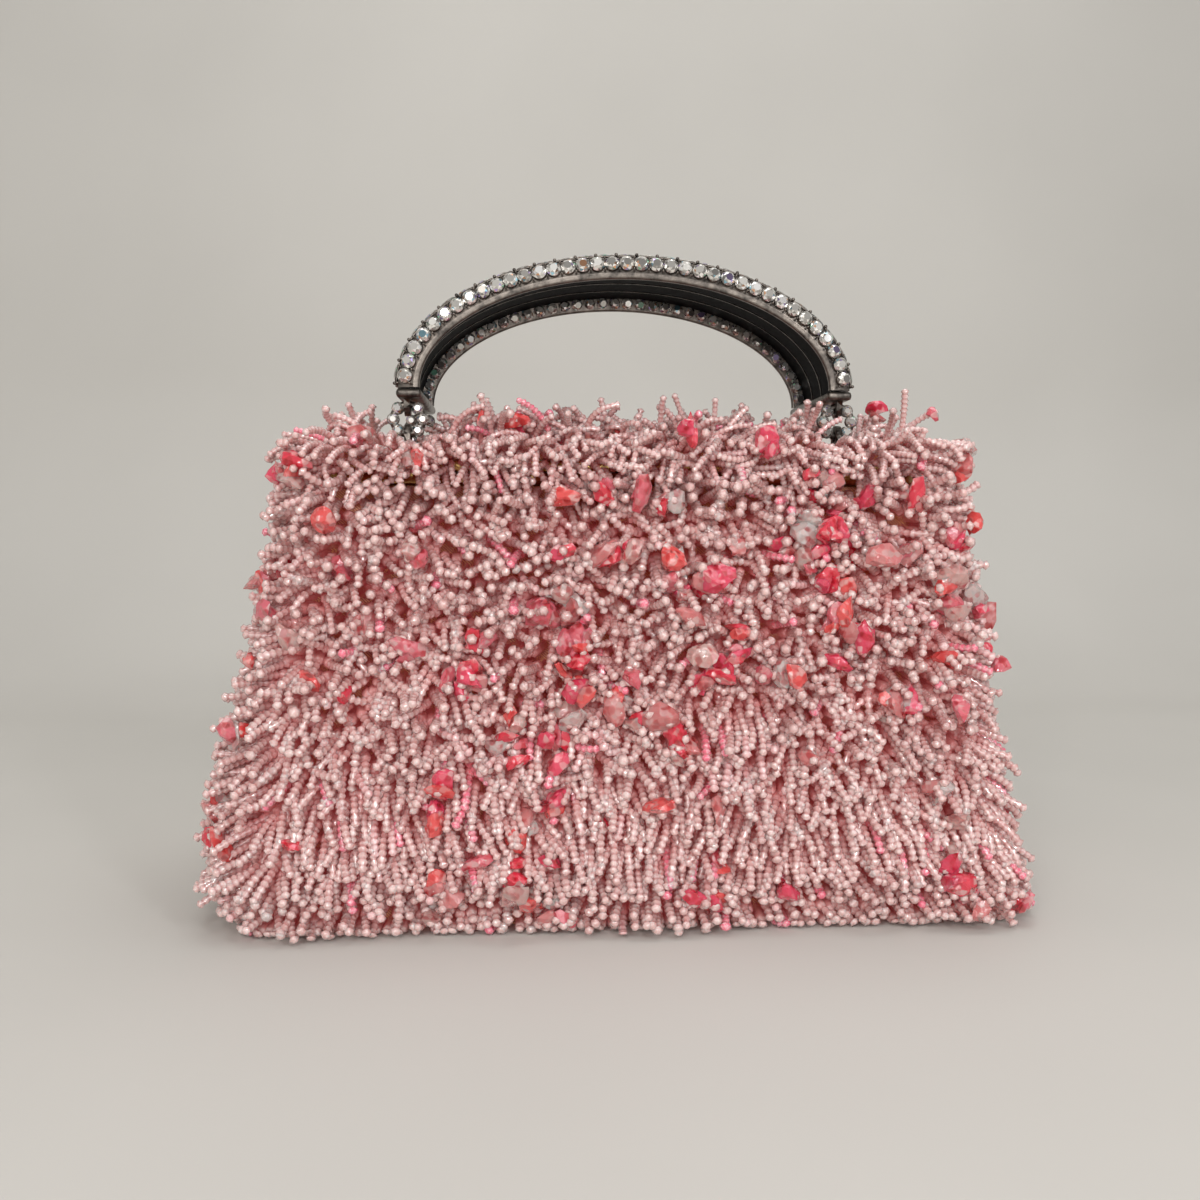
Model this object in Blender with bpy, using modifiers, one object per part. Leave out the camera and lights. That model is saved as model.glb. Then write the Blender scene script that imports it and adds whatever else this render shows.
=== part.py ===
"""Structured evening handbag with a beaded fringe and a wide stone-set handle.

The bag is a stiff tapering box with a hinged lid. Four studded ring links on the lid carry the
handle. +Z is up, the front faces -Y, and the origin is on the floor under the bag's middle.
"""

import math

import bmesh
import bpy
from mathutils import Matrix, Vector

# Driving dimensions, in metres
BASE_WIDTH = 0.192
BASE_DEPTH = 0.076
MOUTH_WIDTH = 0.160
MOUTH_DEPTH = 0.050
BODY_HEIGHT = 0.116
HANDLE_RISE = 0.033
STONE_DIAMETER = 0.0039
STONE_PITCH = 0.0042
FRINGE_DEPTH = 0.0145

# Gap between pieces that touch, how far cuts run past what they cut, and what counts as one point
SEAT_GAP = 0.0003
CUT_OVERRUN = 0.001
CLOSE = 0.00001

# Boards, lining and frames
BOARD = 0.002
BASE_BOARD = 0.0025
LINING_WALL = 0.001
LINING_CORNER = 0.005
FRAME_HEIGHT = 0.003
FRAME_OVERHANG = 0.001
FRAME_RIM_WIDTH = 0.005
FRAME_CORNER = 0.008
FRAME_EDGE = 0.0005
LID_RIM_HEIGHT = 0.0028
LID_GAP = 0.0005
LID_BOARD = 0.0021
LID_LINING = 0.002

# Magnetic catch in the frame's tongue
TONGUE_WIDTH = 0.018
TONGUE_REACH = 0.014
MAGNET_RADIUS = 0.005
MAGNET_HEIGHT = 0.0026
KEEPER_HEIGHT = 0.001
CATCH_EDGE = 0.0003

# Hinge along the back
HINGE_LENGTH = 0.100
HINGE_KNUCKLES = 5
HINGE_LEAF = 0.0008
HINGE_LEAF_HEIGHT = 0.005
HINGE_LEAF_STANDOFF = 0.00135
KNUCKLE_RADIUS = 0.0017
KNUCKLE_SINK = 0.0002
PIN_RADIUS = 0.0008
PIN_HEAD = 0.0006

# Lugs, washers and studded ring links
LUG_INSET = 0.004
LUG_FLANGE_RADIUS = 0.0045
LUG_FLANGE = 0.001
LUG_EYE_HEIGHT = 0.005
LUG_EYE_RADIUS = 0.0031
LUG_THICKNESS = 0.0016
SHANK_RADIUS = 0.0012
SHANK_END = 0.0003
WASHER_RADIUS = 0.0032
WASHER = 0.0008
WASHER_ROOM = 0.0006
LINK_RADIUS = 0.004
LINK_WIRE = 0.0012
LINK_PLAY = 0.0004
LINK_STONE_RADIUS = 0.0016
LINK_STONE_ANGLES = (0, 48, 132, 180, 228, 312)

# Handle
HANDLE_INSET = 0.0205
HANDLE_BEYOND_LINKS = 0.006
BAND_OUTSIDE = 0.0022
BAND_INSIDE = 0.0037
BAND_WALL = 0.0016
BAND_LIP = 0.0018
RIM_FACE = 0.0041
RIM_TILT = math.radians(14)
LINER_WALL = 0.0006
END_BAR_HEIGHT = 0.0024
END_BAR_SIDE = 0.0004
END_BAR_ROUND = 0.0009
EYELET_RADIUS = 0.0029
EYELET_DROP = 0.0016
ARCH_SEGMENTS = 32
CROWN_PITCH = 0.0054
CROWN_EDGE = 0.0005
CROWN_SHEET = 0.0005
STONE_RISE = 0.0009
STONE_BORDER = 0.0009
PLAIN_END = 0.003
RIM_STRIP = 0.0005
RIM_STRIP_WIDTH = 0.0036
RIM_STONE_RISE = 0.0012
STONE_TABLE_SHARE = 0.55

# Fringe pads
TUFT_PITCH = 0.024
TUFT_SHARE = 0.10
PAD_EDGE_SHARE = 0.45
PAD_SEAT_SHARE = 0.35
PAD_FLOOR_GAP = 0.001
PAD_STEP = 0.0085
CORNER_TURN = math.radians(80)
EDGE_ROUND = 0.007
SKIRT_DEPTH = 0.012
SKIRT_ABOVE = 0.0075
TOP_PAD_HEIGHT = 0.010
TOP_PAD_MARGIN = 0.001
LINK_CHANNEL = 0.0075

# Places worked out from the sizes above
WALL_LEAN_Y = (BASE_DEPTH - MOUTH_DEPTH) / 2
WALL_LEAN_X = (BASE_WIDTH - MOUTH_WIDTH) / 2
FRAME_BOTTOM = BODY_HEIGHT + SEAT_GAP
FRAME_TOP = FRAME_BOTTOM + FRAME_HEIGHT
LID_BOTTOM = FRAME_TOP + LID_GAP
RIM_TOP = LID_BOTTOM + LID_RIM_HEIGHT
LID_BOARD_BOTTOM = RIM_TOP + SEAT_GAP
LID_TOP = LID_BOARD_BOTTOM + LID_BOARD
LID_LINING_BOTTOM = RIM_TOP - LID_LINING
FRAME_HALF_X = MOUTH_WIDTH / 2 + FRAME_OVERHANG
FRAME_HALF_Y = MOUTH_DEPTH / 2 + FRAME_OVERHANG
LINK_Y = FRAME_HALF_Y - FRAME_RIM_WIDTH - LUG_INSET
HANDLE_HALF_SPAN = MOUTH_WIDTH / 2 - HANDLE_INSET
HANDLE_WIDTH = 2 * (LINK_Y + HANDLE_BEYOND_LINKS)
CATCH_Y = -(FRAME_HALF_Y - FRAME_RIM_WIDTH - TONGUE_REACH / 2)
HINGE_Z = (FRAME_TOP + LID_BOTTOM) / 2
HINGE_LEAF_FACE = FRAME_HALF_Y + SEAT_GAP + HINGE_LEAF
HINGE_Y = HINGE_LEAF_FACE + KNUCKLE_RADIUS - KNUCKLE_SINK
LUG_BASE = LID_TOP + SEAT_GAP
LUG_EYE_Z = LID_TOP + LUG_EYE_HEIGHT
EYELET_Z = LUG_EYE_Z + 2 * LINK_RADIUS
END_BAR_BOTTOM = EYELET_Z + EYELET_DROP
HANDLE_FOOT = END_BAR_BOTTOM + END_BAR_HEIGHT + SEAT_GAP
EYE_HOLE = LINK_WIRE + LINK_PLAY

parts = None
tools = None


def start_clean():
    """Empties the scene and makes the two collections, one for the bag and one for its cutters."""
    global parts, tools
    for old in list(bpy.data.objects):
        bpy.data.objects.remove(old, do_unlink=True)
    parts = bpy.data.collections.new("beaded_handbag")
    tools = bpy.data.collections.new("cutters")
    for group in (parts, tools):
        bpy.context.scene.collection.children.link(group)


def finish_material(name, colour, roughness, metallic):
    """A Principled material with one colour, for the piece's own finish."""
    material = bpy.data.materials.new(name)
    material.use_nodes = True
    shader = material.node_tree.nodes["Principled BSDF"]
    shader.inputs["Base Color"].default_value = (*colour, 1.0)
    shader.inputs["Roughness"].default_value = roughness
    shader.inputs["Metallic"].default_value = metallic
    return material


FINISHES = {
    "satin": ((0.47, 0.25, 0.08), 0.45, 0.0),
    "lining": ((0.62, 0.33, 0.30), 0.5, 0.0),
    "brass": ((0.60, 0.41, 0.15), 0.3, 1.0),
    "steel": ((0.55, 0.55, 0.56), 0.3, 1.0),
    "gunmetal": ((0.10, 0.095, 0.09), 0.25, 1.0),
    "black": ((0.006, 0.006, 0.007), 0.4, 0.0),
    "stone": ((0.75, 0.74, 0.72), 0.08, 0.0),
    "magnet": ((0.20, 0.20, 0.21), 0.35, 1.0),
    "fringe": ((0.62, 0.30, 0.26), 0.2, 0.0),
}


def dress(piece, finish):
    """Gives the piece a material of its own and shades its round faces smooth."""
    colour, roughness, metallic = FINISHES[finish]
    piece.data.materials.clear()
    piece.data.materials.append(finish_material(piece.name, colour, roughness, metallic))
    piece.data.shade_smooth()
    piece.data.set_sharp_from_angle(angle=math.radians(35))
    return piece


def face_out(bm):
    """Turns all faces outwards: alike first, and then over if the volume they hold is negative."""
    bmesh.ops.recalc_face_normals(bm, faces=bm.faces)
    if bm.calc_volume(signed=True) < 0:
        bmesh.ops.reverse_faces(bm, faces=bm.faces)


def piece_from_bmesh(name, bm, finish=None):
    """Makes an object from a bmesh; without a finish it only serves to cut or join."""
    mesh = bpy.data.meshes.new(name)
    face_out(bm)
    bm.to_mesh(mesh)
    bm.free()
    piece = bpy.data.objects.new(name, mesh)
    if finish is None:
        tools.objects.link(piece)
        piece.hide_render = True
        piece.display_type = "WIRE"
    else:
        parts.objects.link(piece)
        dress(piece, finish)
    return piece


def cut(piece, cutter, operation="DIFFERENCE"):
    """Adds an exact Boolean to the piece."""
    modifier = piece.modifiers.new(cutter.name, "BOOLEAN")
    modifier.operation = operation
    modifier.solver = "EXACT"
    modifier.object = cutter
    return piece


def bevel(piece, width, segments=1, angle=math.radians(40)):
    """Rounds the piece's sharp edges."""
    modifier = piece.modifiers.new("edge", "BEVEL")
    modifier.width = width
    modifier.segments = segments
    modifier.limit_method = "ANGLE"
    modifier.angle_limit = angle
    return piece


def drop(piece, location):
    """Moves a piece's own geometry to a place and leaves its origin at the world's."""
    piece.data.transform(Matrix.Translation(location))
    return piece


def rounded_rectangle(half_x, half_y, radius, steps=5):
    """Corner arcs of a rectangle, anticlockwise, as 2D points."""
    points = []
    for corner, (sx, sy) in enumerate(((1, 1), (-1, 1), (-1, -1), (1, -1))):
        for step in range(steps + 1):
            angle = (corner + step / steps) * math.pi / 2
            x = sx * (half_x - radius) + radius * math.cos(angle)
            y = sy * (half_y - radius) + radius * math.sin(angle)
            points.append((x, y))
    return points


def flat_solid(name, outlines, thickness, finish):
    """A filled 2D curve given a thickness, made a welded mesh that lies centred on the XY plane."""
    curve = bpy.data.curves.new(name, "CURVE")
    curve.dimensions = "2D"
    curve.fill_mode = "BOTH"
    curve.extrude = thickness / 2
    for outline in outlines:
        spline = curve.splines.new("POLY")
        spline.points.add(len(outline) - 1)
        for point, (x, y) in zip(spline.points, outline):
            point.co = (x, y, 0, 1)
        spline.use_cyclic_u = True
    guide = bpy.data.objects.new(name, curve)
    tools.objects.link(guide)
    bpy.context.view_layer.update()
    shape = guide.evaluated_get(bpy.context.evaluated_depsgraph_get())
    mesh = bpy.data.meshes.new_from_object(shape)
    bpy.data.objects.remove(guide, do_unlink=True)
    bm = bmesh.new()
    bm.from_mesh(mesh)
    bpy.data.meshes.remove(mesh)
    bmesh.ops.remove_doubles(bm, verts=bm.verts, dist=CLOSE)
    return piece_from_bmesh(name, bm, finish)


def round_solid(name, radius, height, centre, finish=None, axis="Z", sides=24):
    """A cylinder that stands on Z or lies along X, its middle at the given centre."""
    bm = bmesh.new()
    place = Matrix.Translation(centre)
    if axis == "X":
        place @= Matrix.Rotation(math.pi / 2, 4, "Y")
    bmesh.ops.create_cone(bm, cap_ends=True, segments=sides, radius1=radius,
                          radius2=radius, depth=height, matrix=place)
    return piece_from_bmesh(name, bm, finish)


def box_solid(name, low, high, finish=None):
    """A box between two corners."""
    bm = bmesh.new()
    size = [b - a for a, b in zip(low, high)]
    middle = [(a + b) / 2 for a, b in zip(low, high)]
    place = Matrix.Translation(middle) @ Matrix.Diagonal((*size, 1))
    bmesh.ops.create_cube(bm, size=1, matrix=place)
    return piece_from_bmesh(name, bm, finish)


def outer_half_width(z):
    """Half the body's outer width at a height."""
    return BASE_WIDTH / 2 - WALL_LEAN_X * z / BODY_HEIGHT


def outer_half_depth(z):
    """Half the body's outer depth at a height."""
    return BASE_DEPTH / 2 - WALL_LEAN_Y * z / BODY_HEIGHT


def wall_run(lean):
    """How thick a leaning board is when it is measured level."""
    return BOARD * math.hypot(BODY_HEIGHT, lean) / BODY_HEIGHT


def inner_half_width(z):
    """Half the room between the gussets at a height."""
    return outer_half_width(z) - wall_run(WALL_LEAN_X)


def inner_half_depth(z):
    """Half the room between the front and back panels at a height."""
    return outer_half_depth(z) - wall_run(WALL_LEAN_Y)


def leaning_board(name, facing, reach, lean, half_bottom, half_top):
    """One board of the body: a tapered plate, stood up, leaned in and turned to face outwards."""
    tilt = math.atan2(BODY_HEIGHT, lean)
    lift = BOARD * math.cos(tilt)
    slope = (BODY_HEIGHT - lift) / math.sin(tilt)
    outline = [(-half_bottom, 0), (half_bottom, 0), (half_top, slope), (-half_top, slope)]
    board = flat_solid(name, [outline], BOARD, "satin")
    outer_edge = Vector((0, -reach, lift))
    normal = Vector((0, -math.sin(tilt), math.cos(tilt)))
    board.matrix_world = (
        Matrix.Rotation(facing, 4, "Z")
        @ Matrix.Translation(outer_edge - normal * BOARD / 2)
        @ Matrix.Rotation(tilt, 4, "X")
    )
    return bevel(board, BOARD / 5)


def make_body():
    """Front and back panels over the full width, gussets between them, and the base between all."""
    for name, facing in (("front_panel", 0), ("back_panel", math.pi)):
        leaning_board(name, facing, BASE_DEPTH / 2, WALL_LEAN_Y, BASE_WIDTH / 2, MOUTH_WIDTH / 2)
    half_bottom = inner_half_depth(0) - SEAT_GAP
    half_top = inner_half_depth(BODY_HEIGHT) - SEAT_GAP
    for name, facing in (("right_gusset", math.pi / 2), ("left_gusset", -math.pi / 2)):
        leaning_board(name, facing, BASE_WIDTH / 2, WALL_LEAN_X, half_bottom, half_top)
    outline = rounded_rectangle(
        inner_half_width(BASE_BOARD) - SEAT_GAP,
        inner_half_depth(BASE_BOARD) - SEAT_GAP,
        BASE_BOARD,
    )
    drop(flat_solid("base_panel", [outline], BASE_BOARD, "satin"), (0, 0, BASE_BOARD / 2))


def make_lining():
    """An open box of cloth that follows the leaning walls, with rounded folds."""
    bottom = BASE_BOARD + SEAT_GAP
    bm = bmesh.new()
    bmesh.ops.create_cube(bm, size=2)
    for vertex in bm.verts:
        z = BODY_HEIGHT if vertex.co.z > 0 else bottom
        half_x = inner_half_width(z) - SEAT_GAP
        half_y = inner_half_depth(z) - SEAT_GAP
        vertex.co = (vertex.co.x * half_x, vertex.co.y * half_y, z)
    lid = max(bm.faces, key=lambda face: face.calc_center_median().z)
    rim = set(lid.edges)
    bmesh.ops.bevel(bm, geom=[edge for edge in bm.edges if edge not in rim],
                    offset=LINING_CORNER, segments=3, profile=0.5, affect="EDGES")
    top = [face for face in bm.faces if all(v.co.z > BODY_HEIGHT - CLOSE for v in face.verts)]
    bmesh.ops.delete(bm, geom=top, context="FACES_ONLY")
    lining = piece_from_bmesh("lining", bm, "lining")
    wall = lining.modifiers.new("wall", "SOLIDIFY")
    wall.thickness = LINING_WALL
    wall.offset = -1
    wall.use_even_offset = True
    return lining


def frame_inner_outline():
    """The frame's inner edge, with the tongue for the magnet at the front."""
    half_x = FRAME_HALF_X - FRAME_RIM_WIDTH
    half_y = FRAME_HALF_Y - FRAME_RIM_WIDTH
    points = rounded_rectangle(half_x, half_y, FRAME_CORNER - FRAME_RIM_WIDTH)
    reach = -half_y + TONGUE_REACH
    round_off = TONGUE_WIDTH / 4
    tongue = [(-TONGUE_WIDTH / 2, -half_y), (-TONGUE_WIDTH / 2, reach - round_off)]
    for step in range(1, 5):
        angle = math.pi - step / 4 * math.pi / 2
        tongue.append((-TONGUE_WIDTH / 2 + round_off * (1 + math.cos(angle)),
                       reach - round_off * (1 - math.sin(angle))))
    tongue += [(-x, y) for x, y in reversed(tongue)]
    corner = len(points) * 3 // 4
    return points[:corner] + tongue + points[corner:]


def make_frames():
    """The brass frame on the body's mouth, the lid's rim, and the lid's board and lining."""
    outer = rounded_rectangle(FRAME_HALF_X, FRAME_HALF_Y, FRAME_CORNER)
    frame = flat_solid("mouth_frame", [outer, frame_inner_outline()], FRAME_HEIGHT, "brass")
    drop(frame, (0, 0, FRAME_BOTTOM + FRAME_HEIGHT / 2))
    seat = round_solid("magnet_seat", MAGNET_RADIUS + SEAT_GAP, FRAME_HEIGHT + CUT_OVERRUN,
                       (0, CATCH_Y, FRAME_BOTTOM + FRAME_HEIGHT / 2))
    cut(frame, seat)
    inner = rounded_rectangle(FRAME_HALF_X - FRAME_RIM_WIDTH, FRAME_HALF_Y - FRAME_RIM_WIDTH,
                              FRAME_CORNER - FRAME_RIM_WIDTH)
    rim = flat_solid("lid_rim", [outer, inner], LID_RIM_HEIGHT, "brass")
    bevel(drop(rim, (0, 0, LID_BOTTOM + LID_RIM_HEIGHT / 2)), FRAME_EDGE)

    outline = rounded_rectangle(MOUTH_WIDTH / 2, MOUTH_DEPTH / 2, FRAME_CORNER)
    board = flat_solid("lid_board", [outline], LID_BOARD, "satin")
    drop(board, (0, 0, LID_BOARD_BOTTOM + LID_BOARD / 2))
    inset = FRAME_RIM_WIDTH + SEAT_GAP
    outline = rounded_rectangle(FRAME_HALF_X - inset, FRAME_HALF_Y - inset,
                                FRAME_CORNER - FRAME_RIM_WIDTH)
    pad = flat_solid("lid_lining", [outline], LID_LINING, "lining")
    drop(pad, (0, 0, LID_LINING_BOTTOM + LID_LINING / 2))
    for tag, x, y in link_places():
        hole = round_solid("shank_hole_" + tag, SHANK_RADIUS + SEAT_GAP,
                           LID_BOARD + CUT_OVERRUN, (x, y, LID_BOARD_BOTTOM + LID_BOARD / 2),
                           sides=12)
        cut(board, hole)
        room = round_solid("washer_room_" + tag, WASHER_RADIUS + WASHER_ROOM,
                           LID_LINING + CUT_OVERRUN, (x, y, LID_LINING_BOTTOM + LID_LINING / 2),
                           sides=12)
        cut(pad, room)


def make_catch():
    """A disc magnet in the frame's tongue and the steel keeper that meets it under the lid."""
    magnet = round_solid("catch_magnet", MAGNET_RADIUS, MAGNET_HEIGHT,
                         (0, CATCH_Y, FRAME_BOTTOM + MAGNET_HEIGHT / 2), "magnet")
    bevel(magnet, CATCH_EDGE)
    top = LID_LINING_BOTTOM - SEAT_GAP
    keeper = round_solid("lid_keeper", MAGNET_RADIUS, KEEPER_HEIGHT,
                         (0, CATCH_Y, top - KEEPER_HEIGHT / 2), "steel")
    bevel(keeper, CATCH_EDGE)


def hinge_leaf(name, side, knuckles):
    """A leaf with its knuckles: side is -1 for the leaf below the pin and 1 for the one above."""
    near = HINGE_Z + side * HINGE_LEAF_STANDOFF
    far = near + side * HINGE_LEAF_HEIGHT
    back = HINGE_LEAF_FACE - HINGE_LEAF
    leaf = box_solid(name, (-HINGE_LENGTH / 2, back, min(near, far)),
                     (HINGE_LENGTH / 2, HINGE_LEAF_FACE, max(near, far)), "brass")
    pitch = HINGE_LENGTH / HINGE_KNUCKLES
    for number in knuckles:
        left = -HINGE_LENGTH / 2 + number * pitch + SEAT_GAP / 2
        right = left + pitch - SEAT_GAP
        low = sorted((near + side * KNUCKLE_RADIUS, HINGE_Z + side * PIN_RADIUS))
        web = box_solid(f"{name}_web_{number}", (left, back, low[0]),
                        (right, HINGE_Y, low[1]))
        barrel = round_solid(f"{name}_barrel_{number}", KNUCKLE_RADIUS, right - left,
                             ((left + right) / 2, HINGE_Y, HINGE_Z), axis="X", sides=16)
        cut(leaf, web, "UNION")
        cut(leaf, barrel, "UNION")
    bore = round_solid(name + "_bore", PIN_RADIUS + SEAT_GAP, HINGE_LENGTH + CUT_OVERRUN,
                       (0, HINGE_Y, HINGE_Z), axis="X", sides=16)
    return cut(leaf, bore)


def make_hinge():
    """Body leaf, lid leaf, and the pin on the lid's axis."""
    hinge_leaf("hinge_body_leaf", -1, range(0, HINGE_KNUCKLES, 2))
    hinge_leaf("hinge_lid_leaf", 1, range(1, HINGE_KNUCKLES, 2))
    pin = round_solid("hinge_pin", PIN_RADIUS, HINGE_LENGTH + 2 * SEAT_GAP,
                      (0, HINGE_Y, HINGE_Z), "brass", axis="X", sides=16)
    for side, tag in ((-1, "left"), (1, "right")):
        x = side * (HINGE_LENGTH / 2 + SEAT_GAP + PIN_HEAD / 2)
        head = round_solid("pin_head_" + tag, KNUCKLE_RADIUS, PIN_HEAD,
                           (x, HINGE_Y, HINGE_Z), axis="X", sides=16)
        cut(pin, head, "UNION")


def link_places():
    """Name and place of each ring link: front and back at both ends of the handle."""
    for side_x, tag_x in ((-1, "left"), (1, "right")):
        for side_y, tag_y in ((-1, "front"), (1, "back")):
            yield f"{tag_y}_{tag_x}", side_x * HANDLE_HALF_SPAN, side_y * LINK_Y


def eye_plate(name, radius, centre, foot_z):
    """A plate across X that is round about its eye and runs straight to a foot."""
    plate = round_solid(name, radius, LUG_THICKNESS, centre, axis="X", sides=20)
    x, y, z = centre
    low, high = sorted((z, foot_z))
    stem = box_solid(name + "_stem", (x - LUG_THICKNESS / 2, y - radius, low),
                     (x + LUG_THICKNESS / 2, y + radius, high))
    return plate, stem


def make_lug(tag, x, y):
    """A riveted lug: flange on the lid, eye above it, shank through the board and its washer."""
    flange = round_solid("handle_lug_" + tag, LUG_FLANGE_RADIUS, LUG_FLANGE,
                         (x, y, LUG_BASE + LUG_FLANGE / 2), "gunmetal")
    plate, stem = eye_plate("lug_eye_" + tag, LUG_EYE_RADIUS, (x, y, LUG_EYE_Z),
                            LUG_BASE + LUG_FLANGE / 2)
    shank_bottom = LID_BOARD_BOTTOM - SEAT_GAP - WASHER - SHANK_END
    shank_top = LUG_BASE + LUG_FLANGE / 2
    shank = round_solid("lug_shank_" + tag, SHANK_RADIUS, shank_top - shank_bottom,
                        (x, y, (shank_top + shank_bottom) / 2), sides=12)
    for extra in (plate, stem, shank):
        cut(flange, extra, "UNION")
    eye = round_solid("lug_hole_" + tag, EYE_HOLE, LUG_THICKNESS + CUT_OVERRUN,
                      (x, y, LUG_EYE_Z), axis="X", sides=16)
    cut(flange, eye)
    washer = round_solid("lug_washer_" + tag, WASHER_RADIUS, WASHER,
                         (x, y, LID_BOARD_BOTTOM - SEAT_GAP - WASHER / 2), "steel", sides=16)
    hole = round_solid("washer_hole_" + tag, SHANK_RADIUS + SEAT_GAP, WASHER + CUT_OVERRUN,
                       (x, y, LID_BOARD_BOTTOM - SEAT_GAP - WASHER / 2), sides=12)
    cut(washer, hole)


def make_link(tag, x, y):
    """A ring of wire set with stones, hanging on the lug's eye; its origin is the eye's centre."""
    pivot = Vector((x, y, LUG_EYE_Z))
    profile = bpy.data.meshes.new("ring_link_" + tag)
    bm = bmesh.new()
    bmesh.ops.create_circle(bm, segments=6, radius=LINK_WIRE,
                            matrix=Matrix.Translation((LINK_RADIUS, 0, 0))
                            @ Matrix.Rotation(math.pi / 2, 4, "X"))
    bmesh.ops.spin(bm, geom=bm.edges[:], cent=(0, 0, 0), axis=(0, 0, 1), angle=2 * math.pi,
                   steps=14, use_merge=True, use_duplicate=False)
    bmesh.ops.remove_doubles(bm, verts=bm.verts, dist=CLOSE)
    face_out(bm)
    stand = Matrix.Translation((0, 0, LINK_RADIUS)) @ Matrix.Rotation(math.pi / 2, 4, "X")
    bmesh.ops.transform(bm, matrix=stand, verts=bm.verts)
    bm.to_mesh(profile)
    bm.free()
    ring = bpy.data.objects.new("ring_link_" + tag, profile)
    parts.objects.link(ring)
    ring.location = pivot
    dress(ring, "gunmetal")
    bm = bmesh.new()
    for angle in LINK_STONE_ANGLES:
        turn = math.radians(angle)
        centre = (LINK_RADIUS * math.cos(turn), 0, LINK_RADIUS * (1 + math.sin(turn)))
        bmesh.ops.create_uvsphere(bm, u_segments=6, v_segments=3, radius=LINK_STONE_RADIUS,
                                  matrix=Matrix.Translation(centre)
                                  @ Matrix.Rotation(math.pi / 2, 4, "X"))
    stones = piece_from_bmesh("link_stones_" + tag, bm)
    stones.location = pivot
    cut(ring, stones, "UNION")


def make_links():
    """The four lugs with their washers, and the ring link that swings in each."""
    for tag, x, y in link_places():
        make_lug(tag, x, y)
        make_link(tag, x, y)


def arch_point(angle, offset):
    """A point of the handle's half ellipse, moved outwards along its normal: x and z."""
    x, z = HANDLE_HALF_SPAN * math.cos(angle), HANDLE_RISE * math.sin(angle)
    nx, nz = math.cos(angle) / HANDLE_HALF_SPAN, math.sin(angle) / HANDLE_RISE
    size = math.hypot(nx, nz)
    return x + offset * nx / size, HANDLE_FOOT + z + offset * nz / size


def arch_angles(plain=0.0, pitch=STONE_PITCH, count=None):
    """Angles that part the half ellipse evenly by length, leaving a plain stretch at both ends."""
    fine = 720
    angles = [math.pi * step / fine for step in range(fine + 1)]
    reached = [0.0]
    for before, after in zip(angles, angles[1:]):
        (x0, z0), (x1, z1) = arch_point(before, 0), arch_point(after, 0)
        reached.append(reached[-1] + math.hypot(x1 - x0, z1 - z0))
    span = reached[-1] - 2 * plain
    count = count or max(1, round(span / pitch))
    found, at = [], 0
    for step in range(count + 1):
        goal = plain + span * step / count
        while at < fine - 1 and reached[at + 1] < goal:
            at += 1
        part = (goal - reached[at]) / (reached[at + 1] - reached[at])
        found.append(angles[at] + part * (angles[at + 1] - angles[at]))
    return found


def arch_sweep(name, profile, angles, finish):
    """A closed profile of (across, offset) points carried along the handle's arch, ends capped."""
    bm = bmesh.new()
    rings = []
    for angle in angles:
        places = [(y, arch_point(angle, offset)) for y, offset in profile]
        rings.append([bm.verts.new((x, y, z)) for y, (x, z) in places])
    for ring, after in zip(rings, rings[1:]):
        for at in range(len(ring)):
            bm.faces.new((ring[at - 1], ring[at], after[at], after[at - 1]))
    for ring in (rings[0], rings[-1]):
        bm.faces.new(ring)
    return piece_from_bmesh(name, bm, finish)


def mirrored(points):
    """A profile's right half and its mirror image, as one loop."""
    return points + [(-y, offset) for y, offset in reversed(points)]


def make_band():
    """Cast band: tilted rim faces for the stones, a channel inside, and its black liner."""
    angles = arch_angles(count=ARCH_SEGMENTS)
    half = HANDLE_WIDTH / 2
    floor = BAND_OUTSIDE - BAND_WALL
    arch_sweep("handle_band", mirrored([
        (half - RIM_FACE * math.sin(RIM_TILT), BAND_OUTSIDE),
        (half, BAND_OUTSIDE - RIM_FACE * math.cos(RIM_TILT)),
        (half, -BAND_INSIDE),
        (half - BAND_LIP, -BAND_INSIDE),
        (half - BAND_LIP, floor),
    ]), angles, "gunmetal")
    edge = half - BAND_LIP - SEAT_GAP
    top = floor - SEAT_GAP
    arch_sweep("handle_liner", mirrored([(edge, top), (edge, top - LINER_WALL)]), angles, "black")


def grid_sheet(columns, rows):
    """A unit grid, its corners at a half, whose vertices are later put in place."""
    bm = bmesh.new()
    bmesh.ops.create_grid(bm, x_segments=columns, y_segments=rows, size=0.5)
    return bm


def make_crown():
    """Sheet of square-set stones on the crown: each cell of the sheet is inset and raised."""
    angles = arch_angles(PLAIN_END, CROWN_PITCH)
    count = len(angles) - 1
    half = HANDLE_WIDTH / 2 - RIM_FACE * math.sin(RIM_TILT) - CROWN_EDGE
    rows = max(1, round(2 * half / CROWN_PITCH))
    base = BAND_OUTSIDE + SEAT_GAP
    bm = grid_sheet(count, rows)
    cells = list(bm.faces)
    lower = bmesh.ops.extrude_face_region(bm, geom=cells, use_keep_orig=True)
    lower = {item for item in lower["geom"] if isinstance(item, bmesh.types.BMVert)}
    for vertex in bm.verts:
        column = round((vertex.co.x + 0.5) * count)
        offset = base if vertex in lower else base + CROWN_SHEET
        x, z = arch_point(angles[column], offset)
        vertex.co = (x, vertex.co.y * 2 * half, z)
    face_out(bm)
    bmesh.ops.inset_individual(bm, faces=cells, thickness=STONE_BORDER, depth=STONE_RISE)
    underside = [edge for edge in bm.edges if all(v in lower for v in edge.verts)
                 and len(edge.link_faces) == 2
                 and all(all(v in lower for v in f.verts) for f in edge.link_faces)
                 and abs(edge.verts[0].co.y - edge.verts[1].co.y) < CLOSE]
    bmesh.ops.dissolve_edges(bm, edges=underside, use_verts=False)
    piece_from_bmesh("crown_stones", bm, "stone")


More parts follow.
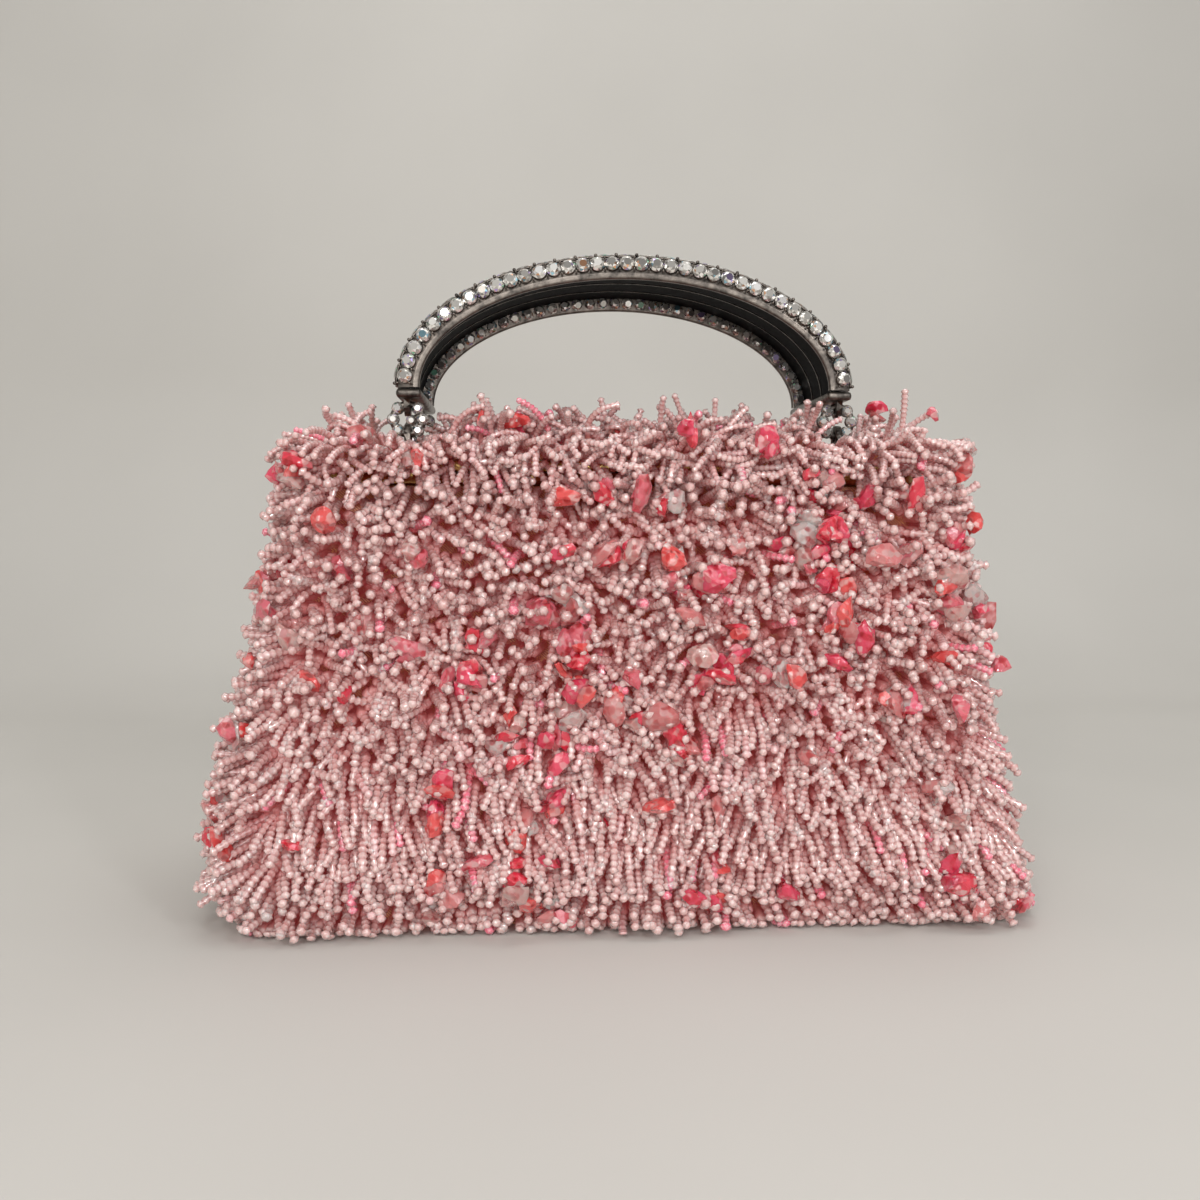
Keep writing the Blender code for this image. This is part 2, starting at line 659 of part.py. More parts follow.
def make_rim_row(name, side):
    """A strip on the rim's face and its row of round stones, each a cone cut off at its table."""
    angles = arch_angles(PLAIN_END)
    count = len(angles) - 1
    sine, cosine = math.sin(RIM_TILT), math.cos(RIM_TILT)

    def at(angle, across, out):
        """A point over the rim's face: across it towards the crown, and out from it."""
        up = across - RIM_FACE / 2
        y = HANDLE_WIDTH / 2 - RIM_FACE * sine + out * cosine - up * sine
        x, z = arch_point(angle, BAND_OUTSIDE + out * sine + up * cosine)
        return Vector((x, side * y, z))

    bm = grid_sheet(count, 1)
    lower = bmesh.ops.extrude_face_region(bm, geom=list(bm.faces), use_keep_orig=True)
    lower = {item for item in lower["geom"] if isinstance(item, bmesh.types.BMVert)}
    for vertex in bm.verts:
        column = round((vertex.co.x + 0.5) * count)
        out = SEAT_GAP if vertex in lower else SEAT_GAP + RIM_STRIP
        vertex.co = at(angles[column], vertex.co.y * RIM_STRIP_WIDTH, out)
    strip = piece_from_bmesh(name, bm, "stone")
    bm = bmesh.new()
    for before, after in zip(angles, angles[1:]):
        angle = (before + after) / 2
        low = at(angle, 0, SEAT_GAP + RIM_STRIP / 2)
        high = at(angle, 0, SEAT_GAP + RIM_STRIP + RIM_STONE_RISE)
        turn = (high - low).to_track_quat("Z", "Y").to_matrix().to_4x4()
        bmesh.ops.create_cone(bm, cap_ends=True, segments=6, radius1=STONE_DIAMETER / 2,
                              radius2=STONE_DIAMETER / 2 * STONE_TABLE_SHARE,
                              depth=(high - low).length,
                              matrix=Matrix.Translation((low + high) / 2) @ turn)
    cut(strip, piece_from_bmesh(name + "_cones", bm), "UNION")


def make_handle_end(name, side):
    """Cast bar that closes an end of the band, with the two eyelets that the links pass through."""
    x = side * HANDLE_HALF_SPAN
    half_x = (BAND_OUTSIDE + BAND_INSIDE) / 2 + END_BAR_SIDE
    middle = x + side * (BAND_OUTSIDE - BAND_INSIDE) / 2
    bar = box_solid(name, (middle - half_x, -HANDLE_WIDTH / 2, END_BAR_BOTTOM),
                    (middle + half_x, HANDLE_WIDTH / 2, END_BAR_BOTTOM + END_BAR_HEIGHT),
                    "gunmetal")
    bevel(bar, END_BAR_ROUND, 2)
    for tag, link_x, y in link_places():
        if link_x * side > 0:
            centre = (link_x, y, EYELET_Z)
            pieces = eye_plate("eyelet_" + tag, EYELET_RADIUS, centre,
                               END_BAR_BOTTOM + END_BAR_HEIGHT / 2)
            for extra in pieces:
                cut(bar, extra, "UNION")
            hole = round_solid("eyelet_hole_" + tag, EYE_HOLE, LUG_THICKNESS + CUT_OVERRUN,
                               centre, axis="X", sides=16)
            cut(bar, hole)


def make_handle():
    """Band, liner, stones and cast ends."""
    make_band()
    make_crown()
    make_rim_row("front_rim_stones", -1)
    make_rim_row("back_rim_stones", 1)
    make_handle_end("handle_end_left", -1)
    make_handle_end("handle_end_right", 1)


def tufts(across, along):
    """Height of the fringe's tufts, 0 to 1, in rows that are set off by half a pitch."""
    row = 0.5 + 0.5 * math.cos(2 * math.pi * along / TUFT_PITCH)
    shift = math.pi * along / TUFT_PITCH
    return row * (0.5 + 0.5 * math.cos(2 * math.pi * across / TUFT_PITCH + shift))


def quarter_round(inwards, radius):
    """Height of a rounded edge as a share, at a distance inwards from where it starts."""
    left = 1 - min(1.0, max(0.0, inwards / radius))
    return max(PAD_EDGE_SHARE, math.sqrt(1 - left * left))


def ease(share):
    """Draws a grid's lines closer together towards its ends, where a pad is rounded."""
    return share * (1.5 - 0.5 * share * share)


def round_corner(u, half, depth, radius):
    """Places a pad's point across its wall and out from it; past the wall's end it turns."""
    run = abs(u) * (half + radius * CORNER_TURN)
    turn = max(0.0, run - half) / radius
    across = min(run, half) + depth * math.sin(turn)
    return math.copysign(across, u), depth * math.cos(turn)


def pad_depth(depth, across, along):
    """A pad's thickness between its rounded edges; the fullest tuft reaches the depth."""
    return depth * (1 - TUFT_SHARE + TUFT_SHARE * tufts(across, along))


def fringe_pad(name, width, height, seat, face):
    """A closed pad: a grid whose points face(u, v) gives, its border carried back to seat(u, v)."""
    columns, rows = (max(4, round(size / PAD_STEP)) for size in (width, height))
    bm = grid_sheet(columns, rows)
    border = [edge for edge in bm.edges if edge.is_boundary]
    back = bmesh.ops.extrude_edge_only(bm, edges=border)["geom"]
    kept = {item for item in back if isinstance(item, bmesh.types.BMVert)}
    loop = [edge for edge in bm.edges if edge.is_boundary]
    for vertex in bm.verts:
        u, v = ease(2 * vertex.co.x), ease(2 * vertex.co.y)
        vertex.co = seat(u, v) if vertex in kept else face(u, v)
    bmesh.ops.holes_fill(bm, edges=loop, sides=0)
    return piece_from_bmesh(name, bm, "fringe")


def make_wall_pad(name, side, top, seat_top):
    """Front or back fringe: it wraps both corners of the body, where it is rounded off."""
    def face(u, v):
        z = PAD_FLOOR_GAP + (top - PAD_FLOOR_GAP) * (v + 1) / 2
        round_z = quarter_round(min(z - PAD_FLOOR_GAP, top - z), EDGE_ROUND)
        half = outer_half_width(z)
        depth = pad_depth(FRINGE_DEPTH, u * half, z) * round_z
        across, out = round_corner(u, half, depth, FRINGE_DEPTH)
        return (across, side * (outer_half_depth(z) + out), z)

    def seat(u, v):
        z = PAD_FLOOR_GAP + (seat_top - PAD_FLOOR_GAP) * (v + 1) / 2
        x = u * (outer_half_width(z) + FRINGE_DEPTH * PAD_SEAT_SHARE)
        return (x, side * (outer_half_depth(z) + SEAT_GAP), z)

    fringe_pad(name, BASE_WIDTH, top, seat, face)


def make_end_pad(name, side, top, seat_top):
    """Left or right fringe, between the front and back pads."""
    def face(u, v):
        z = PAD_FLOOR_GAP + (top - PAD_FLOOR_GAP) * (v + 1) / 2
        round_z = quarter_round(min(z - PAD_FLOOR_GAP, top - z), EDGE_ROUND)
        y = u * (outer_half_depth(min(z, seat_top)) - SEAT_GAP)
        depth = pad_depth(FRINGE_DEPTH, y, z) * round_z
        return (side * (outer_half_width(z) + depth), y, z)

    def seat(u, v):
        z = PAD_FLOOR_GAP + (seat_top - PAD_FLOOR_GAP) * (v + 1) / 2
        y = u * (outer_half_depth(z) - SEAT_GAP)
        return (side * (outer_half_width(z) + SEAT_GAP), y, z)

    fringe_pad(name, BASE_DEPTH, top, seat, face)


def make_body_fringe():
    """Fringe on the four walls; at the back it ends below the hinge leaf."""
    seat_top = BODY_HEIGHT - PAD_FLOOR_GAP
    below_hinge = HINGE_Z - HINGE_LEAF_STANDOFF - HINGE_LEAF_HEIGHT - PAD_FLOOR_GAP
    make_wall_pad("front_fringe", -1, FRAME_TOP, seat_top)
    make_wall_pad("back_fringe", 1, below_hinge, below_hinge)
    make_end_pad("left_fringe", -1, FRAME_TOP, seat_top)
    make_end_pad("right_fringe", 1, FRAME_TOP, seat_top)


def make_lid_skirt():
    """Fringe that hangs from the lid's edge over its rim, at the front and at both ends."""
    low = LID_BOTTOM + SEAT_GAP
    high = LID_TOP + SKIRT_ABOVE
    reach_x = FRAME_HALF_X + SEAT_GAP
    reach_y = FRAME_HALF_Y + SEAT_GAP

    def level(v):
        return low + (high - low) * (v + 1) / 2

    def rounding(z):
        return quarter_round(min(z - low, high - z), EDGE_ROUND)

    def front_face(u, v):
        z = level(v)
        depth = pad_depth(SKIRT_DEPTH, u * reach_x, z) * rounding(z)
        across, out = round_corner(u, reach_x, depth, SKIRT_DEPTH)
        return (across, -(reach_y + out), z)

    def front_seat(u, v):
        return (u * (reach_x + SKIRT_DEPTH * PAD_SEAT_SHARE), -reach_y, level(v))

    fringe_pad("lid_front_fringe", MOUTH_WIDTH, high - low, front_seat, front_face)

    for name, side in (("lid_left_fringe", -1), ("lid_right_fringe", 1)):
        def end_face(u, v, turn=side):
            z = level(v)
            y = u * (FRAME_HALF_Y - SEAT_GAP)
            return (turn * (reach_x + pad_depth(SKIRT_DEPTH, y, z) * rounding(z)), y, z)

        def end_seat(u, v, turn=side):
            return (turn * reach_x, u * (FRAME_HALF_Y - SEAT_GAP), level(v))

        fringe_pad(name, MOUTH_DEPTH, high - low, end_seat, end_face)


def make_lid_mats():
    """Fringe on the lid's top: one mat between the handle's ends and one outside each."""
    half_y = MOUTH_DEPTH / 2 - TOP_PAD_MARGIN
    near = HANDLE_HALF_SPAN - LINK_CHANNEL
    outer = HANDLE_HALF_SPAN + LINK_CHANNEL
    end = MOUTH_WIDTH / 2 - TOP_PAD_MARGIN
    mats = (("lid_top_fringe", 0, near),
            ("lid_left_mat", -(outer + end) / 2, (end - outer) / 2),
            ("lid_right_mat", (outer + end) / 2, (end - outer) / 2))
    for name, middle, half_x in mats:
        def mat_face(u, v, centre=middle, half=half_x):
            inwards = min(half * (1 - abs(u)), half_y * (1 - abs(v)))
            depth = TOP_PAD_HEIGHT * quarter_round(inwards, EDGE_ROUND)
            return (centre + u * half, v * half_y,
                    LUG_BASE + pad_depth(depth, centre + u * half, v * half_y))

        def mat_seat(u, v, centre=middle, half=half_x):
            return (centre + u * half, v * half_y, LUG_BASE)

        fringe_pad(name, 2 * half_x, 2 * half_y, mat_seat, mat_face)


def hang(title, place, starts, carrier=None):
    """Parents the pieces that move together to an empty on the axis they turn about."""
    axis = bpy.data.objects.new(title, None)
    parts.objects.link(axis)
    axis.location = place
    bpy.context.view_layer.update()
    for piece in [*parts.objects]:
        if piece.type == "MESH" and piece.name.startswith(starts):
            piece.parent = axis
            piece.matrix_parent_inverse = axis.matrix_world.inverted()
    if carrier is not None:
        axis.parent = carrier
        axis.matrix_parent_inverse = carrier.matrix_world.inverted()
    return axis


def hang_moving_pieces():
    """The lid turns about the hinge's pin with its lugs and links; the handle about an eyelet."""
    lid = hang("lid_axis", (0, HINGE_Y, HINGE_Z),
               ("lid_", "hinge_lid_", "handle_lug_", "lug_washer_", "ring_link_"))
    hang("handle_axis", (-HANDLE_HALF_SPAN, -LINK_Y, EYELET_Z),
         ("handle_band", "handle_liner", "handle_end_", "front_rim_", "back_rim_", "crown_"), lid)


start_clean()
make_body()
make_lining()
make_frames()
make_catch()
make_hinge()
make_links()
make_handle()
make_body_fringe()
make_lid_skirt()
make_lid_mats()
hang_moving_pieces()
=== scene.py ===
"""Looks of a beaded evening bag, built in the order it is put together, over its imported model."""
import math
from functools import partial

import bpy
import numpy as np
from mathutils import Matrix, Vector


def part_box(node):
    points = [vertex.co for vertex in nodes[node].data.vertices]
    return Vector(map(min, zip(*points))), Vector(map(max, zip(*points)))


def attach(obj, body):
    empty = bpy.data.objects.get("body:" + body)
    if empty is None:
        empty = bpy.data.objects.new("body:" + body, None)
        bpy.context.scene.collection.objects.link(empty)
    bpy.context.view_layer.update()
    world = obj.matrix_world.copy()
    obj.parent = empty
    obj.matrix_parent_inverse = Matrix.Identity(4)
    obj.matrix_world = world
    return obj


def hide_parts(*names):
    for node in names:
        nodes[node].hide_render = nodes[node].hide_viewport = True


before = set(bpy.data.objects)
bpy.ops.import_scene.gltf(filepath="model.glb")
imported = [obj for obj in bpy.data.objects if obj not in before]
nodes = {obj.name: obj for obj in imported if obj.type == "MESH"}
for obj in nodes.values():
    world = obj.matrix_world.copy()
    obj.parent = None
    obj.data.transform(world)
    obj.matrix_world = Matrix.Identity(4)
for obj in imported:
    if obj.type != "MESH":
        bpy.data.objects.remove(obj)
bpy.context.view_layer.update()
MM = 0.001

# Covered boards.
# Stiff greyboard panels, base and lid, each wrapped in gold satin that is glued over its faces.
# The fringe is sewn through them, so the satin only glints where the strands part; there its colour
# carries painted rose shade.


def linear(code):
    """An sRGB hex code as linear red, green and blue with a full alpha."""
    part = np.array([int(code[at:at + 2], 16) for at in (1, 3, 5)]) / 255
    light = np.where(part <= 0.04045, part / 12.92, ((part + 0.055) / 1.055) ** 2.4)
    return (*light.tolist(), 1.0)


def add(tree, kind, settings=None, inputs=None):
    """Adds a node, sets its settings, and gives its inputs values, sockets or first outputs."""
    node = tree.nodes.new("ShaderNode" + kind)
    for name, value in (settings or {}).items():
        setattr(node, name, value)
    for name, value in (inputs or {}).items():
        if isinstance(value, bpy.types.Node):
            value = value.outputs[0]
        if isinstance(value, bpy.types.NodeSocket):
            tree.links.new(value, node.inputs[name])
        else:
            node.inputs[name].default_value = value
    return node


def ramp(tree, value, stops, blend="LINEAR"):
    """A colour for a value, from stops that each have a place and a hex code."""
    node = add(tree, "ValToRGB", None, {"Fac": value})
    held = node.color_ramp.elements
    while len(held) < len(stops):
        held.new(1.0)
    for stop, (place, code) in zip(held, stops):
        stop.position, stop.color = place, linear(code)
    node.color_ramp.interpolation = blend
    return node


def ranged(tree, value, *span):
    """What lies between a span's first two numbers, mapped to between its last two."""
    ends = zip(("From Min", "From Max", "To Min", "To Max"), span)
    return add(tree, "MapRange", None, {"Value": value, **dict(ends)})


def noise(tree, place, size, detail, roughness):
    """Noise whose largest patches are about this size."""
    return add(tree, "TexNoise", None, {
        "Vector": place, "Scale": 1 / size, "Detail": detail, "Roughness": roughness})


def blended(tree, share, under, over, blend="MIX"):
    """A colour laid over another one by a share."""
    return add(tree, "Mix", {"data_type": "RGBA", "blend_type": blend}, {
        0: share, 6: under, 7: over}).outputs[2]


def own_values(tree, name):
    """The three values that a mesh holds under this name, as outputs X, Y and Z."""
    held = add(tree, "Attribute", {"attribute_name": name}).outputs["Vector"]
    return add(tree, "SeparateXYZ", None, {"Vector": held})


def linked(name, data):
    """A new object with this data, put in the scene."""
    made = bpy.data.objects.new(name, data)
    bpy.context.scene.collection.objects.link(made)
    return made


def blank(name):
    """A material with no nodes yet, and its node tree."""
    made = bpy.data.materials.new(name)
    made.use_nodes = True
    made.node_tree.nodes.clear()
    return made, made.node_tree


def close(tree, inputs):
    """Ends a material's tree with the surface that these inputs describe."""
    shader = add(tree, "BsdfPrincipled", None, inputs)
    add(tree, "OutputMaterial", None, {"Surface": shader})


# Satin is woven from fine floats about 0.1 mm apart, drawn here at 0.4 mm so that they show:
# they give it a silky sheen along the weft and a dull ground between folds. A wave texture turns
# by 20 radians where its scaled place goes on by one.
THREAD = 0.4 * MM
SLUB = 5 * MM
WAVE_TURN = 2 * math.pi / 20


def satin(name, light, mid, dark, roughness):
    """Woven satin: floats as a wave across the weft, slubs as noise, both also as a low bump."""
    made, tree = blank(name)
    place = add(tree, "TexCoord").outputs["Object"]
    floats = add(tree, "TexWave", {"bands_direction": "DIAGONAL"}, {
        "Vector": place, "Scale": WAVE_TURN / THREAD, "Distortion": 1.5, "Detail": 2.0,
        "Detail Scale": 2.0})
    slubs = noise(tree, place, SLUB, 5.0, 0.6)
    tone = add(tree, "Math", {"operation": "MULTIPLY_ADD"}, {
        0: floats.outputs["Fac"], 1: 0.45, 2: slubs})
    colour = ramp(tree, tone, [(0.3, dark), (0.6, mid), (0.95, light)])
    rough = ranged(tree, tone, 0.3, 1.1, roughness + 0.12, roughness - 0.08)
    bump = add(tree, "Bump", None, {"Height": tone, "Strength": 0.5, "Distance": 0.12 * MM})
    close(tree, {"Base Color": colour, "Roughness": rough, "Normal": bump, "Sheen Weight": 0.5,
                 "Sheen Roughness": 0.3, "Specular IOR Level": 0.6})
    return made


# Its mid and dark tones are rose, not gold: painted pink light thrown down from the beads and painted
# shade for the crevices between strands. Only its light tone is the satin's own gold.
gold_satin_painted_rose_shade = satin("woven gold satin painted rose in shade", "#E6AC6C", "#C06A58", "#964444", 0.42)
for name in ("front_panel", "back_panel", "left_gusset", "right_gusset", "base_panel", "lid_board"):
    for held in nodes[name].material_slots:
        held.material = gold_satin_painted_rose_shade

# Lining.
# A tub of blush satin, sewn from a wrapped wall and a base, drooping a little between its seams
# and glued round the mouth; under the lid a thin wadded pad covered with the same cloth.

BODY_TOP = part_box("lining")[1].z
BASE_HALF = (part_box("front_panel")[1].x, -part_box("front_panel")[0].y)
MOUTH_HALF = (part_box("lid_board")[1].x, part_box("lid_board")[1].y)
BODY_HEIGHT = 116 * MM
# How far the cloth stands in from the boards' outer faces.
BOARD_RUN = 2.4 * MM


def surface(name, body, finish, slot, points, faces, smooth=True, values=None, flat_map=None):
    """Makes a piece from points, and from blocks of faces that have one number of corners each.

    Values are vectors that the material reads, and flat_map is the map that the bake uses."""
    mesh = bpy.data.meshes.new(name)
    corners = np.concatenate([block.ravel() for block in faces]).astype(np.int32)
    sizes = np.concatenate([np.full(len(block), block.shape[1]) for block in faces])
    starts = np.concatenate([[0], np.cumsum(sizes)[:-1]]).astype(np.int32)
    points = np.ascontiguousarray(points.reshape(-1, 3), np.float32)
    mesh.vertices.add(len(points))
    mesh.vertices.foreach_set("co", points.ravel())
    mesh.loops.add(len(corners))
    mesh.loops.foreach_set("vertex_index", corners)
    mesh.polygons.add(len(sizes))
    mesh.polygons.foreach_set("loop_start", starts)
    mesh.polygons.foreach_set("use_smooth", np.full(len(sizes), smooth))
    mesh.update(calc_edges=True)
    for title, (domain, array) in (values or {}).items():
        held = mesh.attributes.new(title, "FLOAT_VECTOR", domain)
        held.data.foreach_set("vector", np.ascontiguousarray(array, np.float32).ravel())
    if flat_map is not None:
        layer = mesh.uv_layers.new(name="OFBake")
        layer.data.foreach_set("uv", np.ascontiguousarray(flat_map, np.float32).ravel())
    mesh.materials.append(finish)
    piece = linked(name, mesh)
    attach(piece, body)
    return piece


def stacked(*parts):
    """Arrays spread to one shape and set side by side on a last axis, as x, y and z are."""
    return np.stack(np.broadcast_arrays(*parts), axis=-1)


def weave(rows, columns, closed=True):
    """Four-cornered faces of a grid whose columns may close into a ring."""
    row, column = np.meshgrid(np.arange(rows - 1), np.arange(columns - (not closed)),
                              indexing="ij")
    at, beside = row * columns + column, row * columns + (column + 1) % columns
    return stacked(at, beside, beside + columns, at + columns).reshape(-1, 4)


def tube_faces(rings, points, inward=False):
    """Faces of a closed profile carried along rings, then its first cap and its last one."""
    cap = np.arange(points)[None]
    blocks = [weave(rings, points), cap[:, ::-1], (rings - 1) * points + cap]
    return [block[:, ::-1] for block in blocks] if inward else blocks


def round_angles(sides, phase=0.0):
    """Angles of points that stand evenly round a circle, moved on by a share of one step."""
    return 2 * np.pi * (np.arange(sides) + phase) / sides


def oblong(half_x, half_y, radius, turn):
    """A rounded rectangle: the side and end it faces, plus a corner arc, at each turn of 0 to 1."""
    arc = stacked(np.cos(2 * np.pi * turn), np.sin(2 * np.pi * turn))
    inner = stacked(half_x - radius, half_y - radius)
    return np.sign(arc) * inner + arc * radius[..., None]


def make_lining():
    """Rings of a rounded rectangle climb from the base's middle, out, round and up the walls.

    The walls droop as half a sine of the height, less so at each of the cloth's gathers."""
    columns, floors, walls = 176, 9, 40
    gathers, droop = 23, 0.55 * MM
    turn = (np.arange(columns) + 0.5) / columns
    height = np.concatenate([np.zeros(floors), np.linspace(0, 1, walls) ** 1.1])
    share = np.concatenate([np.linspace(0.02, 1, floors + 1)[:-1], np.ones(walls)])
    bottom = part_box("lining")[0].z + 0.3 * MM
    z = bottom + height * (BODY_TOP - bottom - 0.2 * MM)
    level = z / BODY_HEIGHT
    half = [((base + (mouth - base) * level - BOARD_RUN) * share
             - 1.4 * MM * np.exp(-height * 26) * (share == 1))[:, None]
            for base, mouth in zip(BASE_HALF, MOUTH_HALF)]
    fold = (5 * MM * np.minimum(1, height * 12 + 0.25) * share)[:, None]
    ring = oblong(*half, fold, turn - 0.055 * np.sin(4 * np.pi * turn))
    sag = np.sin(np.pi * np.clip(height, 0, 1))[:, None] * droop
    pucker = (1 + np.sin(2 * np.pi * turn * gathers + 3 * np.sin(5 * height[:, None]))) / 2
    pull = (sag * (0.45 + 0.55 * pucker))[..., None]
    ring = ring * (1 - pull / np.linalg.norm(ring, axis=-1, keepdims=True))
    points = stacked(ring[..., 0], ring[..., 1], z[:, None])
    cloth = surface("lining_cloth", "bag", blush_satin, "lining_satin", points,
                    tube_faces(len(height), columns, True)[:2])
    wall = cloth.modifiers.new("cloth", "SOLIDIFY")
    wall.thickness, wall.offset, wall.use_even_offset = 0.35 * MM, 0, True
    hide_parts("lining")


def make_lid_pad():
    """A crowned pad: height falls off towards the edge as a fourth power, quilted by low waves."""
    low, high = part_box("lid_lining")
    columns, rows = 120, 12
    turn = (np.arange(columns) + 0.5) / columns
    share = np.linspace(1, 0.02, rows)[:, None]
    ring = oblong(high.x * share, high.y * share, 3 * MM * share, turn)
    quilt = 0.12 * MM * (np.cos(ring[..., 0] * 2 * np.pi / (19 * MM))
                         * np.cos(ring[..., 1] * 2 * np.pi / (14 * MM)))
    z = low.z + 0.55 * MM - (1 - share ** 4) * 0.35 * MM + quilt * (1 - share)
    top = ring[:1] * 0.995
    points = np.concatenate([stacked(top[..., 0], top[..., 1], high.z),
                             stacked(ring[..., 0], ring[..., 1], z)])
    pad = surface("lid_pad", "lid", blush_satin, "lining_satin", points,
                  tube_faces(rows + 1, columns, True))
    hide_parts("lid_lining")


blush_satin = satin("woven blush satin", "#E6C9C0", "#D3A79E", "#B98A82", 0.38)
make_lining()
make_lid_pad()

# Mouth frame, lid rim and hinge.
# Polished brass: a flat ring riveted round the mouth, its twin round the lid, and a five-knuckle
# hinge with a headed pin. Polishing leaves fine hairlines, handling a faint tarnish.


def smoothed(name, title, body, finish):
    """A copy of a CAD piece with its triangles merged, shaded round where they nearly agree."""
    mesh = nodes[name].data.copy()
    mesh.materials.clear()
    piece = linked(title, mesh)
    merge = piece.modifiers.new("merge", "WELD")
    merge.merge_threshold = 0.01 * MM
    bpy.context.view_layer.update()
    shown = piece.evaluated_get(bpy.context.evaluated_depsgraph_get())
    piece.data = bpy.data.meshes.new_from_object(shown)
    piece.modifiers.clear()
    piece.data.materials.append(finish)
    piece.data.shade_smooth()
    piece.data.set_sharp_from_angle(angle=math.radians(32))
    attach(piece, body)
    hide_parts(name)


def metal(name, bright, dull, roughness, patch, hair):
    """Plated or polished metal: patches of tarnish, and hairlines that lie along X."""
    made, tree = blank(name)
    place = add(tree, "TexCoord").outputs["Object"]
    tarnish = noise(tree, place, patch, 6.0, 0.62)
    drawn = add(tree, "Mapping", None, {"Vector": place, "Scale": (0.08, 1.0, 1.0)})
    hairs = noise(tree, drawn, hair, 3.0, 0.7)
    colour = ramp(tree, tarnish, [(0.34, dull), (0.58, bright)])
    mixed = add(tree, "Math", {"operation": "MULTIPLY_ADD"}, {0: hairs, 1: 0.6, 2: tarnish})
    rough = ranged(tree, mixed, 0.5, 1.1, roughness + 0.1, roughness - 0.06)
    bump = add(tree, "Bump", None, {"Height": hairs, "Strength": 0.12, "Distance": 0.05 * MM})
    close(tree, {"Base Color": colour, "Metallic": 1.0, "Roughness": rough, "Normal": bump})
    return made


# Buffed brass gives warm streaked highlights that go brown and dull where hands have tarnished it.
# Its hairlines, real ones a few hundredths of a millimetre apart, are drawn coarser, at 0.25 mm.
brass = metal("polished brass", "#D9BA7C", "#A67C40", 0.22, 7 * MM, 0.25 * MM)
for name, title, rider in (
        ("mouth_frame", "mouth_frame", "bag"), ("hinge_body_leaf", "body_leaf", "bag"),
        ("hinge_pin", "hinge_pin", "bag"), ("lid_rim", "lid_rim", "lid"),
        ("hinge_lid_leaf", "lid_leaf", "lid")):
    smoothed(name, "brass_" + title, rider, brass)

# Magnetic catch and washers.
# A nickel-plated disc magnet pressed into the frame's tongue, a steel keeper on the lid, and the
# washers that back the handle's lugs. Turned and tumbled, so nearly plain with a soft lustre.

nickel = metal("nickel-plated steel", "#C9C8C6", "#8F8D8A", 0.28, 4 * MM, 0.2 * MM)
smoothed("catch_magnet", "nickel_magnet", "bag", nickel)
smoothed("lid_keeper", "steel_keeper", "lid", nickel)
CORNERS = [f"{end}_{side}" for end in ("front", "back") for side in ("left", "right")]
for corner in CORNERS:
    smoothed("lug_washer_" + corner, "steel_washer_" + corner, "lid", nickel)

# Lugs and ring links.
# Cast zinc, plated gunmetal black: a riveted lug at each end of the handle, front and back, and
# in each a wire ring that carries six round cups, every cup set with a rhinestone on both faces.

# Plating over a tumbled casting gives a dark, broad gloss, paler where wear thins the black.
gunmetal = metal("gunmetal plating", "#7C746D", "#433F3C", 0.36, 3 * MM, 0.18 * MM)
for corner in CORNERS:
    smoothed("handle_lug_" + corner, "plated_lug_" + corner, "lid", gunmetal)


def rhinestone_glass():
    """Foiled cut glass: each facet's reflection painted in as its own fixed grey, a few of them with a
    painted spectral tint.
    """
    made, tree = blank("foiled cut glass")
    facet = own_values(tree, "facet")
    # Painted reflection: each facet's grey, from near black to white, stands in for the light its foil
    # throws back, and a few facets get a painted spectral tint.
    painted_reflection = ramp(tree, facet, [
        (0.0, "#75716D"), (0.3, "#B2AEA8"), (0.6, "#E1DDD6"), (0.85, "#FFFCF6"),
        (1.0, "#FFFFFF")])
    painted_fire = ramp(tree, facet.outputs["Y"], [
        (0.0, "#FFFFFF"), (0.86, "#9FD8F2"), (0.91, "#C4B0F2"), (0.95, "#F2B58A"),
        (0.98, "#A9F0D0")], "CONSTANT")
    tinted = blended(tree, 1.0, painted_reflection, painted_fire, "MULTIPLY")
    rough = ranged(tree, facet.outputs["Z"], 0.0, 1.0, 0.03, 0.16)
    close(tree, {"Base Color": tinted, "Metallic": 0.65, "Roughness": rough,
                 "IOR": 1.56, "Coat Weight": 1.0, "Coat Roughness": 0.03})
    return made


# Moulded glass, machine cut, with a tin foil fired on its back: light comes straight back out, so that
# neighbouring facets look white, grey or black, and a turn of the head swaps them. Here each facet's
# white, grey or black is a fixed painted reflection.
rhinestone = rhinestone_glass()


def outline(sides, squareness, phase):
    """Points of a ring round a stone: a circle at squareness 2 that fills out towards a square."""
    angle = round_angles(sides, phase)
    plan = stacked(np.cos(angle), np.sin(angle))
    return plan / (np.abs(plan) ** squareness).sum(axis=-1, keepdims=True) ** (1 / squareness)


def cut_stone(radius, height, squareness=2.0):
    """One brilliant: table, star and girdle rings of 8, 8 and 16 points over a closed back."""
    rings = [(0.52, height, 8, 0.5), (0.8, 0.62 * height, 8, 0.0), (1.0, 0.12 * height, 16, 0.0),
             (0.9, -0.25 * height, 16, 0.0)]
    points = np.concatenate([stacked(*(outline(count, squareness, phase) * radius * share).T, z)
                             for share, z, count, phase in rings])
    at, ring = np.arange(8), np.arange(16)
    on, past = (at + 1) % 8, (ring + 1) % 16
    star, girdle, back = 8, 16, 32
    middle = girdle + 2 * at + 1
    facets = [stacked(at, star + on, on), stacked(star + at, star + on, at),
              stacked(star + at, middle - 1, middle),
              stacked(star + on, middle, girdle + (2 * at + 2) % 16),
              stacked(star + at, middle, star + on)]
    rim = stacked(back + ring, back + past, girdle + past, girdle + ring)
    return points, [np.concatenate(facets), rim, at[None, :], (back + ring)[None, ::-1]]


